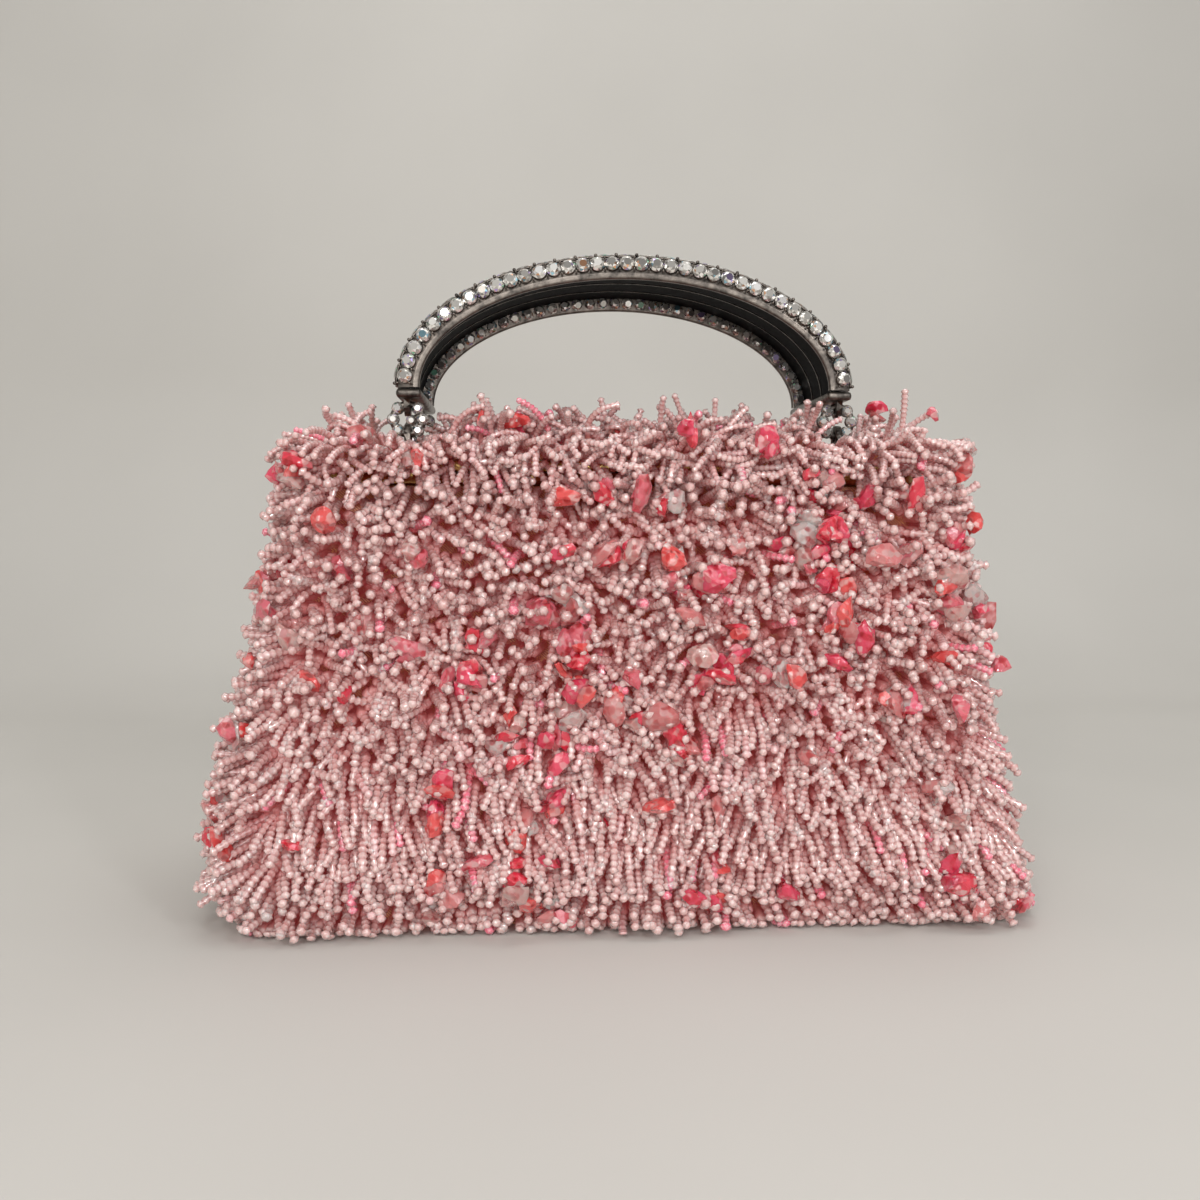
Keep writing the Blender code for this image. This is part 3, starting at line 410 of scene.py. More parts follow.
def cup(radius, depth):
    """A metal cup: rings of a rounded wall, open over the stone and closed below."""
    share, z = np.array([(0.86, 0.1), (0.95, 0.42), (1.04, 0.3), (1.06, -0.1), (1.0, -1.0)]).T
    angle = round_angles(12)
    reach = radius * share[:, None]
    points = stacked(reach * np.cos(angle), reach * np.sin(angle), depth * z[:, None])
    return points.reshape(-1, 3), tube_faces(len(share), len(angle), True)


def ball(radii):
    """A closed ellipsoid of three rings between two poles."""
    sides, rings = 6, 3
    lift = np.pi * (np.arange(1, rings + 1) / (rings + 1) - 0.5)[:, None]
    angle = round_angles(sides)
    body = stacked(np.cos(lift) * np.cos(angle), np.cos(lift) * np.sin(angle), np.sin(lift))
    points = np.concatenate([body.reshape(-1, 3), [[0, 0, -1], [0, 0, 1]]]) * np.array(radii)
    at = np.arange(sides)
    on = (at + 1) % sides
    low, last = rings * sides, (rings - 1) * sides
    return points, [weave(rings, sides), np.concatenate([
        stacked(on, at, low), stacked(last + at, last + on, low + 1)])]


def repeated(block, copies, size):
    """A block of faces once for each copy of a shape that has this many points."""
    return (block[None] + (np.arange(copies) * size)[:, None, None]).reshape(-1, block.shape[1])


def placed(shape, centres, across, up, out):
    """Copies of a shape at many places, each turned to the three directions of its place."""
    points, faces = shape
    axes = np.stack([across, up, out], axis=1)
    spread = centres[:, None, :] + np.einsum("pk,nkc->npc", points, axes)
    return spread.reshape(-1, 3), [repeated(block, len(centres), len(points)) for block in faces]


def joined(*shapes):
    """Several shapes' points and faces as one."""
    points, faces, first = [], [], 0
    for more, blocks in shapes:
        points.append(more)
        faces += [block + first for block in blocks]
        first += len(more)
    return np.concatenate(points), faces


def unit(vectors):
    """Vectors made one long."""
    return vectors / np.linalg.norm(vectors, axis=-1, keepdims=True)


def settled(along, up, out, seed, most=0.13):
    """Directions of stones that sit a little askew: out leans by up to most, the others follow."""
    lean = np.random.default_rng(seed).uniform(-most, most, (len(out), 2))
    out = unit(out + lean[:, :1] * along + lean[:, 1:] * up)
    along = unit(along - (along * out).sum(axis=1, keepdims=True) * out)
    return along, np.cross(out, along), out


def set_stones(name, body, points, faces, seed):
    """A piece of stones, with a random painted reflection grey, painted tint and polish for each
    facet.
    """
    drawn = np.random.default_rng(seed).random((sum(len(block) for block in faces), 3))
    sizes = np.concatenate([np.full(len(block), block.shape[1]) for block in faces])
    return surface(name, body, rhinestone, "rhinestone", points, faces, False,
                   {"facet": ("CORNER", np.repeat(drawn, sizes, axis=0))})


LINK_RADIUS = 4.0 * MM
LINK_WIRE = 1.05 * MM
LINK_CUPS = np.radians([0, 48, 132, 180, 228, 312])
CUP_RADIUS = 1.65 * MM


def make_link(corner, seed):
    """A ring of wire in the XZ plane, its lowest point at the lug's eye, with cups along it."""
    low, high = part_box("ring_link_" + corner)
    middle = np.array([(low.x + high.x) / 2, (low.y + high.y) / 2, low.z + 1.2 * MM + LINK_RADIUS])
    around, over = 40, 10
    turn, wire = round_angles(around)[:, None], round_angles(over)
    reach = LINK_RADIUS + LINK_WIRE * np.cos(wire)
    ring = middle + stacked(reach * np.cos(turn), LINK_WIRE * np.sin(wire),
                            reach * np.sin(turn)).reshape(-1, 3)
    ring_faces = weave(around + 1, over) % (around * over)
    centres = middle + LINK_RADIUS * stacked(np.cos(LINK_CUPS), 0, np.sin(LINK_CUPS))
    east, south, up = (np.tile(row, (len(LINK_CUPS), 1)) for row in np.eye(3) * (1, -1, 1))
    cups, stones = (
        [placed(shape, centres + gap * face * south, face * east, up, face * south)
         for face in (1, -1)]
        for shape, gap in ((cup(CUP_RADIUS, 1.0 * MM), 0.35 * MM),
                           (cut_stone(0.93 * CUP_RADIUS, 0.8 * MM), 0.65 * MM)))
    for piece in (surface("plated_link_" + corner, corner + "_link", gunmetal, "gunmetal",
                          *joined((ring, [ring_faces]), *cups)),
                  set_stones("link_stones_" + corner, corner + "_link", *joined(*stones), seed)):
        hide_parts("ring_link_" + corner)


for number, corner in enumerate(CORNERS):
    make_link(corner, 40 + number)

# Handle band and its lining.
# One zinc casting, plated gunmetal: a half ellipse whose rims are tilted to carry stones, over a
# deep channel. The channel shows the black backs of the stone strips, with their sawtooth seams.

SPAN, RISE, FOOT = 59.5 * MM, 33 * MM, 142.3 * MM
OUTSIDE, INSIDE = 2.2 * MM, 3.7 * MM
HALF_WIDTH = 23 * MM
RIM_FACE, RIM_TILT = 4.1 * MM, math.radians(14)
FINE = np.linspace(0, np.pi, 1441)


def arch(angle, offset):
    """The handle's half ellipse moved out along its normal: x and z of each angle."""
    nx, nz = np.cos(angle) / SPAN, np.sin(angle) / RISE
    size = np.hypot(nx, nz)
    return (SPAN * np.cos(angle) + offset * nx / size,
            FOOT + RISE * np.sin(angle) + offset * nz / size)


def arch_angles(plain, count):
    """Angles that part the arch evenly by length, with a plain stretch left at both ends."""
    x, z = arch(FINE, 0)
    run = np.concatenate([[0], np.cumsum(np.hypot(np.diff(x), np.diff(z)))])
    return np.interp(np.linspace(plain, run[-1] - plain, count), run, FINE)


def carried(angles, profile):
    """A profile of (across, offset) points carried along the arch, as rings of points."""
    x, z = arch(angles[:, None], profile[:, 1])
    return stacked(x, profile[:, 0], z)


def eased(corners, radius):
    """A closed profile whose corners are cut back by a radius and bridged with a parabola."""
    corners = np.array(corners)
    before = np.roll(corners, 1, axis=0) - corners
    after = np.roll(corners, -1, axis=0) - corners
    radius = np.minimum(radius, 0.45 * np.minimum(np.linalg.norm(before, axis=1),
                                                  np.linalg.norm(after, axis=1)))[:, None]
    start = corners + unit(before) * radius
    end = corners + unit(after) * radius
    t = np.linspace(0, 1, 4)[None, :, None]
    bend = (1 - t) ** 2 * start[:, None] + 2 * t * (1 - t) * corners[:, None] + t ** 2 * end[:, None]
    return bend.reshape(-1, 2)


def make_band():
    """The casting's section, rounded at each corner, carried along the arch."""
    low = OUTSIDE - RIM_FACE * math.cos(RIM_TILT)
    crown = HALF_WIDTH - RIM_FACE * math.sin(RIM_TILT)
    lip = HALF_WIDTH - 1.8 * MM
    half = [(crown, OUTSIDE), (HALF_WIDTH, low), (HALF_WIDTH + 0.15 * MM, low - 0.5 * MM),
            (HALF_WIDTH, -INSIDE), (lip, -INSIDE), (lip, 0.6 * MM)]
    profile = eased(half + [(-y, e) for y, e in reversed(half)], 0.55 * MM)
    points = carried(arch_angles(0, 150), profile)
    band = surface("plated_band", "handle", gunmetal, "gunmetal", points,
                   tube_faces(*points.shape[:2]))
    band.data.set_sharp_from_angle(angle=math.radians(60))
    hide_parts("handle_band")


def enamel():
    """Black enamel: a dark dielectric whose coat is a little uneven, so that it glints dully."""
    made, tree = blank("black enamel")
    place = add(tree, "TexCoord").outputs["Object"]
    orange = noise(tree, place, 1.2 * MM, 4.0, 0.6)
    colour = ramp(tree, orange, [(0.35, "#040405"), (0.75, "#0D0C0E")])
    rough = ranged(tree, orange, 0.0, 1.0, 0.5, 0.75)
    bump = add(tree, "Bump", None, {"Height": orange, "Strength": 0.3, "Distance": 0.08 * MM})
    close(tree, {"Base Color": colour, "Roughness": rough, "Normal": bump,
                 "Specular IOR Level": 0.06})
    return made


SEAMS = np.array([-0.5, 0.0, 0.5])


def make_liner():
    """Strip backs: a sheet that dips at each seam, and over each seam a ribbon with a toothed edge."""
    edge = HALF_WIDTH - 2.1 * MM
    across = np.linspace(-1, 1, 49) * edge
    near = np.abs(across[:, None] / edge - SEAMS[None]).min(axis=1) * edge
    dip = 0.3 * MM * np.exp(-(near / (0.5 * MM)) ** 2)
    profile = np.concatenate([stacked(across, dip), stacked(across, 0.35 * MM)[::-1]])
    points = carried(arch_angles(0.4 * MM, 140), profile)
    liner = surface("liner_backs", "handle", black, "black_enamel", points,
                    tube_faces(*points.shape[:2]))
    liner.data.set_sharp_from_angle(angle=math.radians(50))
    angles = arch_angles(0.4 * MM, 420)
    tooth = 0.22 * MM + 0.5 * MM * np.abs((np.arange(len(angles)) / 3) % 1 - 0.5)
    x, z = arch(angles[:, None], np.array([-0.1, 0.32, -0.1]) * MM)
    ribbons = [(stacked(x, stacked(seam - 0.2 * MM, seam, seam + tooth), z).reshape(-1, 3),
                tube_faces(len(angles), 3)) for seam in SEAMS * edge]
    teeth = surface("liner_teeth", "handle", gunmetal, "gunmetal", *joined(*ribbons), False)
    for piece in (liner, teeth):
        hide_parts("handle_liner")


# Stoved enamel, sprayed on thin, gives a near black that swallows light but for a dull glint.
black = enamel()
make_band()
make_liner()
for side in ("left", "right"):
    smoothed("handle_end_" + side, "plated_end_" + side, "handle", gunmetal)

# Handle stones.
# Round 4 mm rhinestones along both rims and cushion-cut ones over the crown, each in a shallow
# cup and held by claws that neighbours share; the cups' open backs sparkle inside the channel.

PLAIN_END = 1.0 * MM
RIM_STONES = 37
CROWN_STONES, CROWN_ROWS = 27, 8


def stations(angles, y, offset, tilt, side):
    """Places on the arch with three directions each: along it, up its face, and out of it."""
    x, z = arch(angles, offset)
    nx, nz = np.cos(angles) / SPAN, np.sin(angles) / RISE
    size = np.hypot(nx, nz)
    nx, nz = nx / size, nz / size
    along = stacked(nz, 0, -nx) * -side
    out = stacked(math.sin(tilt) * nx, side * math.cos(tilt), math.sin(tilt) * nz)
    return stacked(x, side * y, z), along, np.cross(out, along), out


def make_rim(name, side, seed):
    """A row of brilliants in cups on the rim's tilted face, with claws between neighbours."""
    edges = arch_angles(PLAIN_END, RIM_STONES + 1)
    middle = (edges[1:] + edges[:-1]) / 2
    face = (HALF_WIDTH - RIM_FACE / 2 * math.sin(RIM_TILT),
            OUTSIDE - RIM_FACE / 2 * math.cos(RIM_TILT), RIM_TILT, side)
    at, along, up, out = stations(middle, *face)
    stones = set_stones(name + "_brilliants", "handle",
                        *placed(cut_stone(2.02 * MM, 1.25 * MM), at + 0.7 * MM * out,
                                *settled(along, up, out, seed + 2)), seed)
    cups = placed(cup(1.97 * MM, 1.0 * MM), at + 0.4 * MM * out, along, up, out)
    between, along, up, out = stations(edges, *face)
    claws = [placed(ball((0.34 * MM, 0.55 * MM, 0.5 * MM)),
                    between + share * 1.7 * MM * up + 0.9 * MM * out, along, up, out)
             for share in (-1, 1)]
    setting = surface(name + "_claws", "handle", gunmetal, "gunmetal", *joined(cups, *claws))
    at, along, up, out = stations(middle, HALF_WIDTH - 1.8 * MM, -1.35 * MM, 0.0, side)
    backs = set_stones(name + "_stone_backs", "handle",
                       *placed(cut_stone(1.85 * MM, 1.1 * MM), at - 0.1 * MM * out,
                               *settled(along, -up, -out, seed + 3, 0.5)), seed + 1)
    for piece in (stones, setting, backs):
        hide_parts(name + "_rim_stones")


def make_crown():
    """Rows of cushion-cut stones over the crown, on a thin sheet, with claws at their corners."""
    half = HALF_WIDTH - RIM_FACE * math.sin(RIM_TILT) - 0.5 * MM
    edges = arch_angles(PLAIN_END, CROWN_STONES + 1)
    middle = (edges[1:] + edges[:-1]) / 2
    pitch = 2 * half / CROWN_ROWS

    def spread(angles, lines, offset):
        """Places over the crown for every angle and line across."""
        angle, y = (grid.ravel() for grid in np.meshgrid(angles, lines, indexing="ij"))
        return stations(angle, y, offset, math.pi / 2, 1)

    stones = set_stones("crown_cushions", "handle", *placed(
        cut_stone(2.42 * MM, 0.7 * MM, 5.0),
        *spread(middle, (np.arange(CROWN_ROWS) + 0.5) * pitch - half, OUTSIDE + 0.75 * MM)), 77)
    claws = placed(ball((0.5 * MM, 0.5 * MM, 0.55 * MM)),
                   *spread(edges, np.arange(CROWN_ROWS + 1) * pitch - half, OUTSIDE + 0.8 * MM))
    profile = eased([(half, OUTSIDE + 0.7 * MM), (half, OUTSIDE + 0.2 * MM),
                     (-half, OUTSIDE + 0.2 * MM), (-half, OUTSIDE + 0.7 * MM)], 0.2 * MM)
    sheet = carried(arch_angles(PLAIN_END - 0.3 * MM, 120), profile)
    setting = surface("crown_claws", "handle", gunmetal, "gunmetal",
                      *joined(claws, (sheet.reshape(-1, 3), tube_faces(*sheet.shape[:2]))))
    for piece in (stones, setting):
        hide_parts("crown_stones")


make_rim("front", -1, 11)
make_rim("back", 1, 21)
make_crown()

# Body fringe.
# Strands of 11/0 seed beads, translucent pink glass with a pale core whose flecks are partly painted
# sparkle, six to fourteen to a strand on nylon thread, sewn through the boards in rows so close that
# the ground disappears.

# Real beads are 2.1 mm wide. These are drawn coarser, at 2.5 mm, so that there are fewer of them.
# A bead has two rings, one at its belly and one at its hole. The root's ring is followed by ring
# HIDDEN where the pile hides what lies between, and by ring BARE where an open lid lays it bare.
BEAD_RADIUS = 1.27 * MM
BEAD_PITCH = 1.6 * MM
SIDES = 6
HIDDEN, BARE = 8, 2
HOLE, END_BEAD, END_HOLE = 0.67, 1.12, 0.7
ROOT_CONE, NEXT_CONE = 1.3, 0.9
DOWN = np.array([0.0, 0.0, -1.0])


def bead_glass():
    """Seed beads: translucent glass with a pearly core, deeper at the holes, with painted rosy shade
    towards the roots and pale flecks that are partly painted sparkle.
    """
    made, tree = blank("pink seed-bead glass")
    bead = own_values(tree, "bead")
    colour = ramp(tree, bead, [
        (0.0, "#CA9A96"), (0.3, "#D3A8A3"), (0.6, "#D8B1AC"), (0.85, "#E0BFBA"),
        (0.94, "#E8909A"), (1.0, "#F2708A")])
    place = add(tree, "TexCoord").outputs["Object"]
    pearl = noise(tree, place, 0.8 * MM, 3.0, 0.65)
    # Pale flecks from the noise: partly the beads' pearly core, partly painted sparkle standing in for
    # glints.
    core_and_painted_sparkle = ranged(tree, pearl, 0.46, 0.68, 0.0, 0.62)
    # Painted shade: a rosy tint that grows towards the roots, where the pile shades the beads and
    # their glass hands on red light.
    depth = ranged(tree, bead.outputs["Z"], 0.0, 0.75, 0.95, 0.0)
    hole = ranged(tree, bead.outputs["Y"], 0.0, 0.65, 0.7, 0.0)
    for share, code in ((depth, "#EC8A8B"), (core_and_painted_sparkle, "#FFF0EE"), (hole, "#BE7471")):
        colour = blended(tree, share, colour, linear(code))
    rough = ranged(tree, pearl, 0.3, 0.7, 0.2, 0.08)
    # Clear beads hand light down into the pile; a faint red glow at the roots stands for it.
    glow = ranged(tree, bead.outputs["Z"], 0.0, 0.85, 0.11, 0.0)
    close(tree, {"Emission Color": linear("#E66464"), "Emission Strength": glow,
                 "Base Color": colour, "Roughness": rough, "IOR": 1.52,
                 "Subsurface Weight": 0.35, "Subsurface Radius": (1.0, 0.45, 0.4),
                 "Subsurface Scale": 1.4 * MM, "Coat Weight": 1.0, "Coat Roughness": 0.04,
                 "Coat IOR": 1.85})
    made.cycles.emission_sampling = "NONE"
    return made


# Drawn glass cane, cut and tumbled hot: round wet highlights on milky pink, with darker holes.
seed_beads = bead_glass()


def drift(places, length, seed):
    """A smooth wandering value between about -1 and 1: a sum of waves in random directions."""
    rng = np.random.default_rng(seed)
    heading = rng.normal(size=(6, 3))
    heading *= (2 * np.pi / length / rng.uniform(0.7, 1.6, 6)
                / np.linalg.norm(heading, axis=1))[:, None]
    return np.sin(places @ heading.T + rng.uniform(0, 2 * np.pi, 6)).sum(axis=1) / 2.6


def strand_paths(roots, out, fall, count, lean, swing, pitch, clear):
    """Each strand's rings: its heading turns from out to fall by lean, sideways by swing.

    The places are the running sum of the headings, half a bead at a time. One that would bend
    back into its board is pushed out again, to be as far clear of it as a bead needs."""
    t = np.linspace(0, 1, 2 * count + 1)
    side = np.cross(out, fall)
    theta = lean[:, :1] + (lean[:, 1:2] - lean[:, :1]) * t ** 1.2
    phi = swing[:, :1] + (swing[:, 1:2] - swing[:, :1]) * t
    plane = np.cos(phi)[..., None] * fall[:, None] + np.sin(phi)[..., None] * side[:, None]
    heading = np.cos(theta)[..., None] * out[:, None] + np.sin(theta)[..., None] * plane
    step = pitch / 2 * (heading[:, 1:] + heading[:, :-1]) / 2
    path = np.concatenate([0 * roots[:, None], np.cumsum(step, axis=1)], axis=1)
    least = np.minimum(clear, pitch / 2 * np.arange(2 * count + 1))
    rise = np.maximum(least - (path * out[:, None]).sum(axis=-1), 0)
    return path + rise[..., None] * out[:, None] + roots[:, None], heading


def strand_mesh(path, heading, size, tint, cone, hidden, rng):
    """Beads on each path: ring radii swing between hole and belly, so the tube looks strung.

    A cone from the root stands for the hidden beads and their twins on the loop's other leg."""
    path, heading = (np.concatenate([field[:, :1], field[:, hidden:]], axis=1)
                     for field in (path, heading))
    strands, rings = path.shape[:2]
    axis = unit(np.cross(heading[:, rings // 2], heading[:, 0]) + 1e-6)[:, None]
    u = unit(axis - (axis * heading).sum(axis=-1, keepdims=True) * heading)
    v = np.cross(heading, u)
    belly = (np.arange(rings) + 1) % 2
    belly[0] = 0
    radius = BEAD_RADIUS * size[:, None] * np.where(
        belly, 1 + 0.06 * rng.standard_normal((strands, rings)), HOLE)
    radius[:, -2] *= END_BEAD
    radius[:, -1] *= END_HOLE
    radius[:, 0] *= 1 + ROOT_CONE * cone
    radius[:, 1] *= 1 + NEXT_CONE * cone
    angle = round_angles(SIDES)
    spoke = (np.cos(angle)[:, None] * u[:, :, None] + np.sin(angle)[:, None] * v[:, :, None])
    points = path[:, :, None] + radius[:, :, None, None] * spoke
    faces = [repeated(block, strands, rings * SIDES) for block in tube_faces(rings, SIDES)]
    belly = np.append(belly[:-1], 0.6)
    # reached and depth run from the root to the tip; the bead material paints rosy shade and a red
    # glow where depth is low.
    reached = (np.arange(rings) + hidden - 1) / (rings + hidden - 2) * (np.arange(rings) > 0)
    depth = 1 - (1 - reached) * (0.55 + 0.45 * cone[:, None])
    held = stacked(tint[:, None, None], belly[:, None], depth[..., None] + np.zeros(SIDES))
    return points.reshape(-1, 3), faces, held.reshape(-1, 3)


def strand_map(groups):
    """The bake map: a cell for each strand, its sleeve unrolled along u, its two caps beside it."""
    total = sum(strands for strands, rings in groups)
    across = math.ceil(math.sqrt(total / 2))
    cell = np.array([1 / across, 1 / math.ceil(total / across)])
    angle = round_angles(SIDES)
    cap = stacked(0.91 + 0.05 * np.cos(angle), 0.1 * np.sin(angle))
    done, flat = 0, []
    for strands, rings in groups:
        number = done + np.arange(strands)
        done += strands
        corner = (stacked(number % across, number // across) * cell)[:, None, None]
        row, column = np.meshgrid(np.arange(rings - 1), np.arange(SIDES), indexing="ij")
        u = stacked(row, row, row + 1, row + 1).reshape(-1, 4) / (rings - 1)
        v = stacked(column, column + 1, column + 1, column).reshape(-1, 4) / SIDES
        flat.append(corner + cell * stacked(0.04 + 0.78 * u, 0.06 + 0.88 * v))
        flat += [corner[:, 0] + cell * (side + [0, v]) for side, v in ((cap[::-1], 0.27), (cap, 0.73))]
    return np.concatenate([part.reshape(-1, 2) for part in flat])


def make_strands(name, body, replaced, field, seed):
    """Builds a field of strands, grouped by how many beads and rings they have, as one piece.

    Returns where each strand ends and which way it points there, for the chips."""
    rng = np.random.default_rng(seed)
    meshes, held, tips, aims, groups = [], [], [], [], []
    for count, hidden in np.unique(stacked(field["count"], field["hidden"]), axis=0):
        own = (field["count"] == count) & (field["hidden"] == hidden)
        path, heading = strand_paths(field["root"][own], field["out"][own], field["fall"][own],
                                     count, field["lean"][own], field["swing"][own],
                                     BEAD_PITCH * field["grain"], field["clear"])
        # Where a strand passes over the lid it stays above the lid's top.
        over = (np.abs(path[..., :2]) < field["above"][:2]).all(axis=-1)
        path[..., 2] = np.maximum(path[..., 2], np.where(over, field["above"][2], -1.0))
        size = rng.normal(1, 0.04, own.sum()).clip(0.9, 1.1) * field["grain"]
        points, faces, value = strand_mesh(path, heading, size, field["tint"][own],
                                           field["cone"][own], hidden, rng)
        points[:, 2] = np.maximum(points[:, 2], 0.3 * MM)
        meshes.append((points, faces))
        held.append(value)
        tips.append(path[:, -2])
        aims.append(heading[:, -1])
        groups.append((own.sum(), 2 * count + 2 - hidden))
    piece = surface(name, body, seed_beads, "pink_beads", *joined(*meshes), True,
                    {"bead": ("POINT", np.concatenate(held))}, strand_map(groups))
    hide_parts(*replaced)
    return np.concatenate(tips), np.concatenate(aims)


def picked(field, mask):
    """The strands of a field that a mask keeps."""
    return {key: value[mask] if isinstance(value, np.ndarray) else value
            for key, value in field.items()}


ROW_PITCH = 3.5 * MM
ROOT_PITCH = 2.45 * MM
CORNER_RADIUS = 4 * MM
CORNER_REACH = 7 * MM
HOT_PINK = 0.035
DIAGONAL = 0.7071


def wall_roots(z, shift, rng):
    """Roots of one row round the body: evenly spaced by length a little outside the boards."""
    half = [base + (mouth - base) * z / BODY_HEIGHT for base, mouth in zip(BASE_HALF, MOUTH_HALF)]
    angle = (np.linspace(0, np.pi / 2, 9) + np.arange(4)[:, None] * np.pi / 2).ravel()
    angle = np.append(angle, 2 * np.pi)
    corner = np.array([(1, 1), (-1, 1), (-1, -1), (1, -1), (1, 1)]).repeat([9] * 4 + [1], axis=0)
    facing = stacked(np.cos(angle), np.sin(angle))
    base = corner * (np.array(half) - CORNER_RADIUS) + facing * CORNER_RADIUS
    run = np.linalg.norm(np.diff(base + facing * CORNER_REACH, axis=0), axis=1)
    run = np.concatenate([[0], np.cumsum(run)])
    count = round(run[-1] / ROOT_PITCH)
    at = (np.arange(count) + shift) / count * run[-1] + rng.normal(0, 0.45 * MM, count)
    at %= run[-1]
    x, y, facing = (np.interp(at, run, row) for row in (base[:, 0], base[:, 1], angle))
    return stacked(x, y, z + rng.normal(0, 0.5 * MM, count)), facing


def kinds(root, rng):
    """Each strand's batch of beads: neighbours mostly share one, and a few are hot pink."""
    tint = 0.45 + 0.22 * drift(root, 32 * MM, 77) + 0.16 * rng.standard_normal(len(root))
    return np.where(rng.random(len(root)) < HOT_PINK, 1.0, tint.clip(0, 0.88))


def bent(first, last, slant, twist):
    """Lean and swing of strands, each as its value at the root and at the tip.

    Lean goes from first to last in degrees, where 0 is straight out of the board and 90 lies
    along it. Swing starts at slant, in radians, and turns on by twist, in degrees."""
    return {"lean": np.radians(stacked(first, last)),
            "swing": stacked(slant, slant + np.radians(twist))}


def body_field():
    """All strands of the body: steep and long low down, pushed out towards the top."""
    rng = np.random.default_rng(5)
    lowest, highest, foot = 3 * MM, 118.5 * MM, 14 * MM
    rows = [wall_roots(z, 0.5 * (number % 2), rng)
            for number, z in enumerate(np.arange(lowest, highest, ROW_PITCH))]
    root = np.concatenate([row[0] for row in rows])
    angle = np.concatenate([row[1] for row in rows])
    tilt = math.radians(6.2)
    out = stacked(np.cos(angle) * math.cos(tilt), np.sin(angle) * math.cos(tilt), math.sin(tilt))
    level = root[:, 2] / BODY_HEIGHT
    total = len(root)
    bell = partial(rng.standard_normal, total)
    # Curl is how far a strand has turned at its tip: less on the sides, most of all at the left
    # end, which flares out in the photo, and less high up, where many stand out nearly straight.
    sideways = np.abs(np.cos(angle))
    flare = np.clip(-np.cos(angle), 0, 1)
    high = np.clip((level - 0.25) / 0.5, 0, 1)
    low = np.clip(root[:, 2] / (24 * MM), 0.45, 1)
    curl = (84 - 16 * high - 24 * sideways * (1 - 0.4 * high) - 20 * flare
            + 7 * drift(root, 34 * MM, 1))
    straight = rng.random(total) < 0.3 * high
    first = 6 + 9 * bell()
    last = low * np.where(straight, 30, curl) + (9 + 11 * high) * bell()
    slant = np.radians((11 + 5 * high) * drift(root, 40 * MM, 2) + (10 + 42 * high) * bell())
    field = bent(first, last, slant, (18 + 50 * high) * bell())
    count = np.round(10.4 - 0.3 * high + 3.2 * flare * (1 - high) + 0.7 * bell()
                     + 0.5 * drift(root, 25 * MM, 3)).clip(8, 14)
    short = np.round(8 + 1.6 * drift(root, 45 * MM, 6)).clip(6, 10)
    count = np.where(root[:, 2] < foot, short, count)
    count = np.where(root[:, 2] < 5 * MM, 6, count).astype(int)
    loop = (rng.random(total) < 0.05) & (root[:, 2] > 20 * MM)
    field["lean"][loop, 1] = np.radians(rng.uniform(170, 215, loop.sum()))
    count[loop] = 13
    edge, bare = level > 0.94, level > 0.95
    field["lean"][edge, 1] = np.radians(44 + 20 * rng.standard_normal(edge.sum()))
    root = root - out * 0.5 * MM
    return {**field, "root": root, "out": out, "fall": unit(DOWN - (out @ DOWN)[:, None] * out),
            "count": count, "angle": angle, "tint": kinds(root, rng), "grain": 1,
            "above": (1.0, 1.0, 1.5 * MM), "cone": np.where(bare, 0.15, 1.0),
            "clear": 2.4 * MM, "hidden": np.where(bare, BARE, HIDDEN)}


body = body_field()
facing_y = np.sin(body["angle"])
faces_front, faces_back = facing_y < -DIAGONAL, facing_y > DIAGONAL
right_side = ~faces_front & ~faces_back & (np.cos(body["angle"]) > 0)
left_side = ~faces_front & ~faces_back & ~right_side
faces_back &= body["root"][:, 2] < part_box("back_fringe")[1].z - 1 * MM
tip_sets = {"front": [], "back": [], "left": [], "right": [], "lid": [], "top": []}
for name, mask, parts in (("front", faces_front, 4), ("back", faces_back, 4),
                          ("left", left_side, 2), ("right", right_side, 2)):
    level = np.clip((body["root"][:, 2] / BODY_HEIGHT * parts).astype(int), 0, parts - 1)
    for part in range(parts):
        tip_sets[name].append(make_strands(
            f"{name}_strands_{part + 1}", "bag", [name + "_fringe"],
            picked(body, mask & (level == part)), 100 + 7 * part + len(name)))

# Lid fringe.
# The same strands round the lid's edge, where they flop over its rim and hide the gap, and over
# its top, where they lie combed outwards and leave a channel free for the links.

LID_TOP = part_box("lid_board")[1].z
LID_EDGE = np.array([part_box("lid_rim")[1].x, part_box("lid_rim")[1].y])
LINK_X, LINK_ROOM = 59.5 * MM, 6.5 * MM
SKIRT_DROP, SKIRT_PITCH = 4.6 * MM, 2.3 * MM
MAT_PITCH, MAT_ROWS = 2.8 * MM, 3.6 * MM


